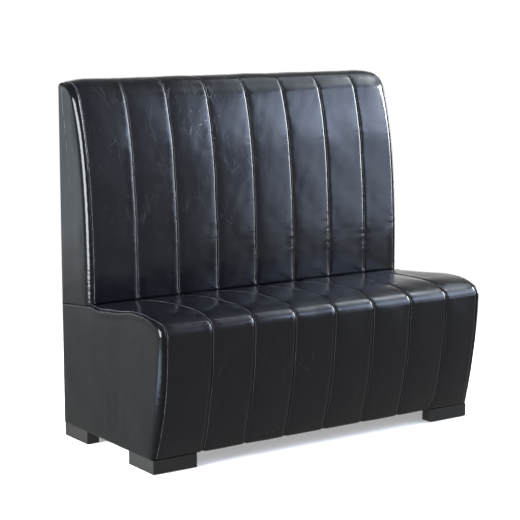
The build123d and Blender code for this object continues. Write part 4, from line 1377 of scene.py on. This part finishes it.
FINISHES = {
    "thread": ("grey_thread", [(0.018, 0.018, 0.02), (0.075, 0.075, 0.08)], (0.5, 0.65), twisted, 0.05),
    "dust": ("black_dust_cloth", [(0.008, 0.008, 0.008), (0.028, 0.028, 0.029)], (0.85, 0.95), felted, 0.12),
    "leg_lacquer": (
        "black_leg_lacquer", [(0.003, 0.003, 0.003), (0.006, 0.0055, 0.005)], (0.42, 0.5),
        wood_figure(240.0), 0.03, 0.0, 1.28,
    ),
    "frame_plywood": (
        "poplar_plywood", [(0.42, 0.29, 0.17), (0.66, 0.5, 0.33)], (0.6, 0.75), wood_figure(90.0), 0.06
    ),
    "seat_foam": ("pale_foam", [(0.5, 0.48, 0.4), (0.75, 0.73, 0.64)], (0.9, 0.98), open_cells, 0.2),
    "glide_nylon": (
        "black_nylon", [(0.012, 0.012, 0.012), (0.02, 0.02, 0.02)], (0.4, 0.5), speckle(1500.0), 0.01
    ),
    "zinc_steel": (
        "zinced_steel", [(0.55, 0.56, 0.57), (0.72, 0.73, 0.74)], (0.3, 0.42), speckle(700.0), 0.01, 1.0
    ),
}
finishes = {slot: finish_material(*values) for slot, values in FINISHES.items()}
for piece in threads:
    piece.data.materials.append(finishes["thread"])
dust_sheet.data.materials.append(finishes["dust"])
for cad_piece in [item for item in bpy.data.objects if item.get("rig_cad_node")]:
    for slot in cad_piece.material_slots:
        slot.material = finishes.get(slot.material.name, slot.material)
print("finishes", sorted(material.name for material in bpy.data.materials))

# %% [markdown]
# ## A white floor and room
#
# The bench was photographed on white, and cut out. Here it stands on a white floor in a white room. To the
# camera the floor is lifted towards full white, and beyond a few metres it fades into the room, so no horizon
# shows. Glossy reflections find it an even, slightly warm white. Light that falls on the bench isn't raised
# by this, and the floor keeps the bench's shadow. The top of the back rest mirrors nothing bright in the
# photograph, so reflections that go up and to the rear find a dimmer room.

# %% Floor and world
FLOOR_HALF = 12.0
FLOOR_ALBEDO = 0.45
FLOOR_ROUGHNESS = 0.9
FLOOR_LIFT = 0.35
FLOOR_IN_GLOSS = (0.92, 0.9, 0.85, 1)
FADE_START = 1.2
FADE_END = 2.4
ROOM_LIGHT = 0.75
OVERHEAD_IN_GLOSS = 0.4
OVERHEAD_RISE = (0.2, 0.45)
OVERHEAD_REARWARDS = (-0.3, 0.3)


def seen_directly(tree):
    """One for camera, glossy and transmission rays, and zero for the diffuse rays that light the bench."""
    path = add_node(tree, "ShaderNodeLightPath").outputs
    seen = calculate(tree, "MAXIMUM", path["Is Camera Ray"], path["Is Glossy Ray"])
    return calculate(tree, "MAXIMUM", seen, path["Is Transmission Ray"])


def floor_material():
    """White floor: diffuse and a little lifted near the bench, plain far away, and even in reflections."""
    material, tree, shader = new_material("white_floor")
    shader.inputs["Base Color"].default_value = (FLOOR_ALBEDO, FLOOR_ALBEDO, FLOOR_ALBEDO, 1)
    shader.inputs["Roughness"].default_value = FLOOR_ROUGHNESS
    shader.inputs["Specular IOR Level"].default_value = 0.0
    glossy = add_node(tree, "ShaderNodeLightPath").outputs["Is Glossy Ray"]
    seen = seen_directly(tree)
    lift = add_node(tree, "ShaderNodeEmission", {"Strength": times(tree, seen, FLOOR_LIFT)})
    lifted = add_node(tree, "ShaderNodeAddShader", {0: shader.outputs[0], 1: lift.outputs[0]})
    distance = vector_math(tree, "LENGTH", {0: object_place(tree)})["Value"]
    fade = times(tree, step_between(tree, distance, FADE_START, FADE_END), seen)
    white = add_node(tree, "ShaderNodeEmission", {"Strength": 1.0})
    faded = add_node(tree, "ShaderNodeMixShader", {0: fade, 1: lifted.outputs[0], 2: white.outputs[0]})
    even = add_node(tree, "ShaderNodeEmission", {"Color": FLOOR_IN_GLOSS, "Strength": 1.0})
    mixed = add_node(tree, "ShaderNodeMixShader", {0: glossy, 1: faded.outputs[0], 2: even.outputs[0]})
    tree.links.new(mixed.outputs[0], tree.nodes["Material Output"].inputs["Surface"])
    return material


def dimmed_overhead(tree, room):
    """Brightness of the room, lower for glossy rays that go up and to the rear, where the studio was dark."""
    axes = split(tree, add_node(tree, "ShaderNodeTexCoord").outputs["Generated"])
    upwards = step_between(tree, axes["Z"], *OVERHEAD_RISE)
    rearwards = step_between(tree, axes["Y"], *OVERHEAD_REARWARDS, 0.0, 1 - OVERHEAD_IN_GLOSS)
    loss = times(tree, upwards, rearwards)
    glossy = add_node(tree, "ShaderNodeLightPath").outputs["Is Glossy Ray"]
    return calculate(tree, "SUBTRACT", room, times(tree, glossy, loss))


corners = [(x * FLOOR_HALF, y * FLOOR_HALF, 0) for x, y in ((-1, -1), (1, -1), (1, 1), (-1, 1))]
floor_mesh = bpy.data.meshes.new("floor")
floor_mesh.from_pydata(corners, [], [(0, 1, 2, 3)])
floor_mesh.materials.append(floor_material())
floor = bpy.data.objects.new("floor", floor_mesh)
bpy.context.collection.objects.link(floor)

world = bpy.data.worlds.new("white_room")
world.use_nodes = True
sky = world.node_tree
background = sky.nodes["Background"].inputs
background["Color"].default_value = (1, 1, 1, 1)
room = step_between(sky, seen_directly(sky), 0.0, 1.0, ROOM_LIGHT, 1.0)
sky.links.new(dimmed_overhead(sky, room), background["Strength"])
bpy.context.scene.world = world
bpy.context.scene.view_settings.view_transform = "Standard"

# %% [markdown]
# ## Lights
#
# The reflections in the photograph tell where the lights stood. A tall cool wall of light on the right is
# mirrored in the right part of the back rest. It is built from four boxes that grow dimmer towards the
# ceiling and the floor, so that its reflection fades out over the top. Bright boxes at both sides draw the
# thin lines along the seams and the rounded left edge, and a small cool one near the floor shows low on that
# edge. A box low behind the bench shows in the side panel of the back. A lamp high on the right, inside a
# dimmer and larger one, draws the soft line along the lip, and a faint tall box further to the front is
# mirrored left of the middle. The power of each follows from how bright it should look: radiance times area
# times pi.

# %% Set the lights
def soft_box(name, place, target, size, radiance, colour):
    """Rectangular lamp at a place, facing a target, that the camera doesn't see."""
    data = bpy.data.lights.new(name, "AREA")
    data.shape = "RECTANGLE"
    data.size, data.size_y = size
    data.energy = pi * size[0] * size[1] * radiance
    data.color = colour
    lamp = bpy.data.objects.new(name, data)
    lamp.location = place
    lamp.rotation_euler = (Vector(target) - Vector(place)).to_track_quat("-Z", "Y").to_euler()
    lamp.visible_camera = False
    bpy.context.collection.objects.link(lamp)


COOL = (0.62, 0.74, 1.0)
PALE_BLUE = (0.78, 0.89, 1.0)
NEAR_WHITE = (0.9, 0.95, 1.0)
BENCH_MIDDLE = (0.0, 0.1, 0.75)
LIP = (0.2, -0.25, 0.45)
soft_box("right_box_low", (2.54, -1.92, 1.2), BENCH_MIDDLE, (1.8, 1.8), 6.8, COOL)
soft_box("right_box_high", (2.55, -1.9, 2.05), BENCH_MIDDLE, (1.85, 1.3), 11.0, COOL)
soft_box("right_box_top", (2.7, -1.6, 3.0), BENCH_MIDDLE, (1.5, 1.0), 4.0, COOL)
soft_box("right_box_roof", (2.3, -1.2, 3.7), BENCH_MIDDLE, (1.5, 1.3), 1.2, COOL)
soft_box("front_fill", (1.22, -2.9, 2.6), BENCH_MIDDLE, (1.4, 3.2), 0.5, COOL)
soft_box("right_side_box", (3.2, -0.4, 1.4), BENCH_MIDDLE, (0.9, 1.9), 62.0, NEAR_WHITE)
soft_box("left_side_box", (-2.75, -0.2, 1.0), (-0.6, 0.1, 0.75), (1.5, 1.8), 75.0, NEAR_WHITE)
soft_box("left_low_box", (-1.3, -0.1, 0.1), (-0.6, -0.25, 0.25), (0.7, 0.18), 14.0, COOL)
soft_box("left_rear_box", (-2.0, 2.3, 0.7), (-0.6, 0.2, 0.75), (1.4, 1.1), 2.7, PALE_BLUE)
soft_box("lip_lamp", (1.9, -0.1, 2.5), LIP, (1.2, 0.5), 10.0, NEAR_WHITE)
soft_box("lip_halo", (1.95, -0.08, 2.57), LIP, (2.2, 1.7), 3.2, PALE_BLUE)
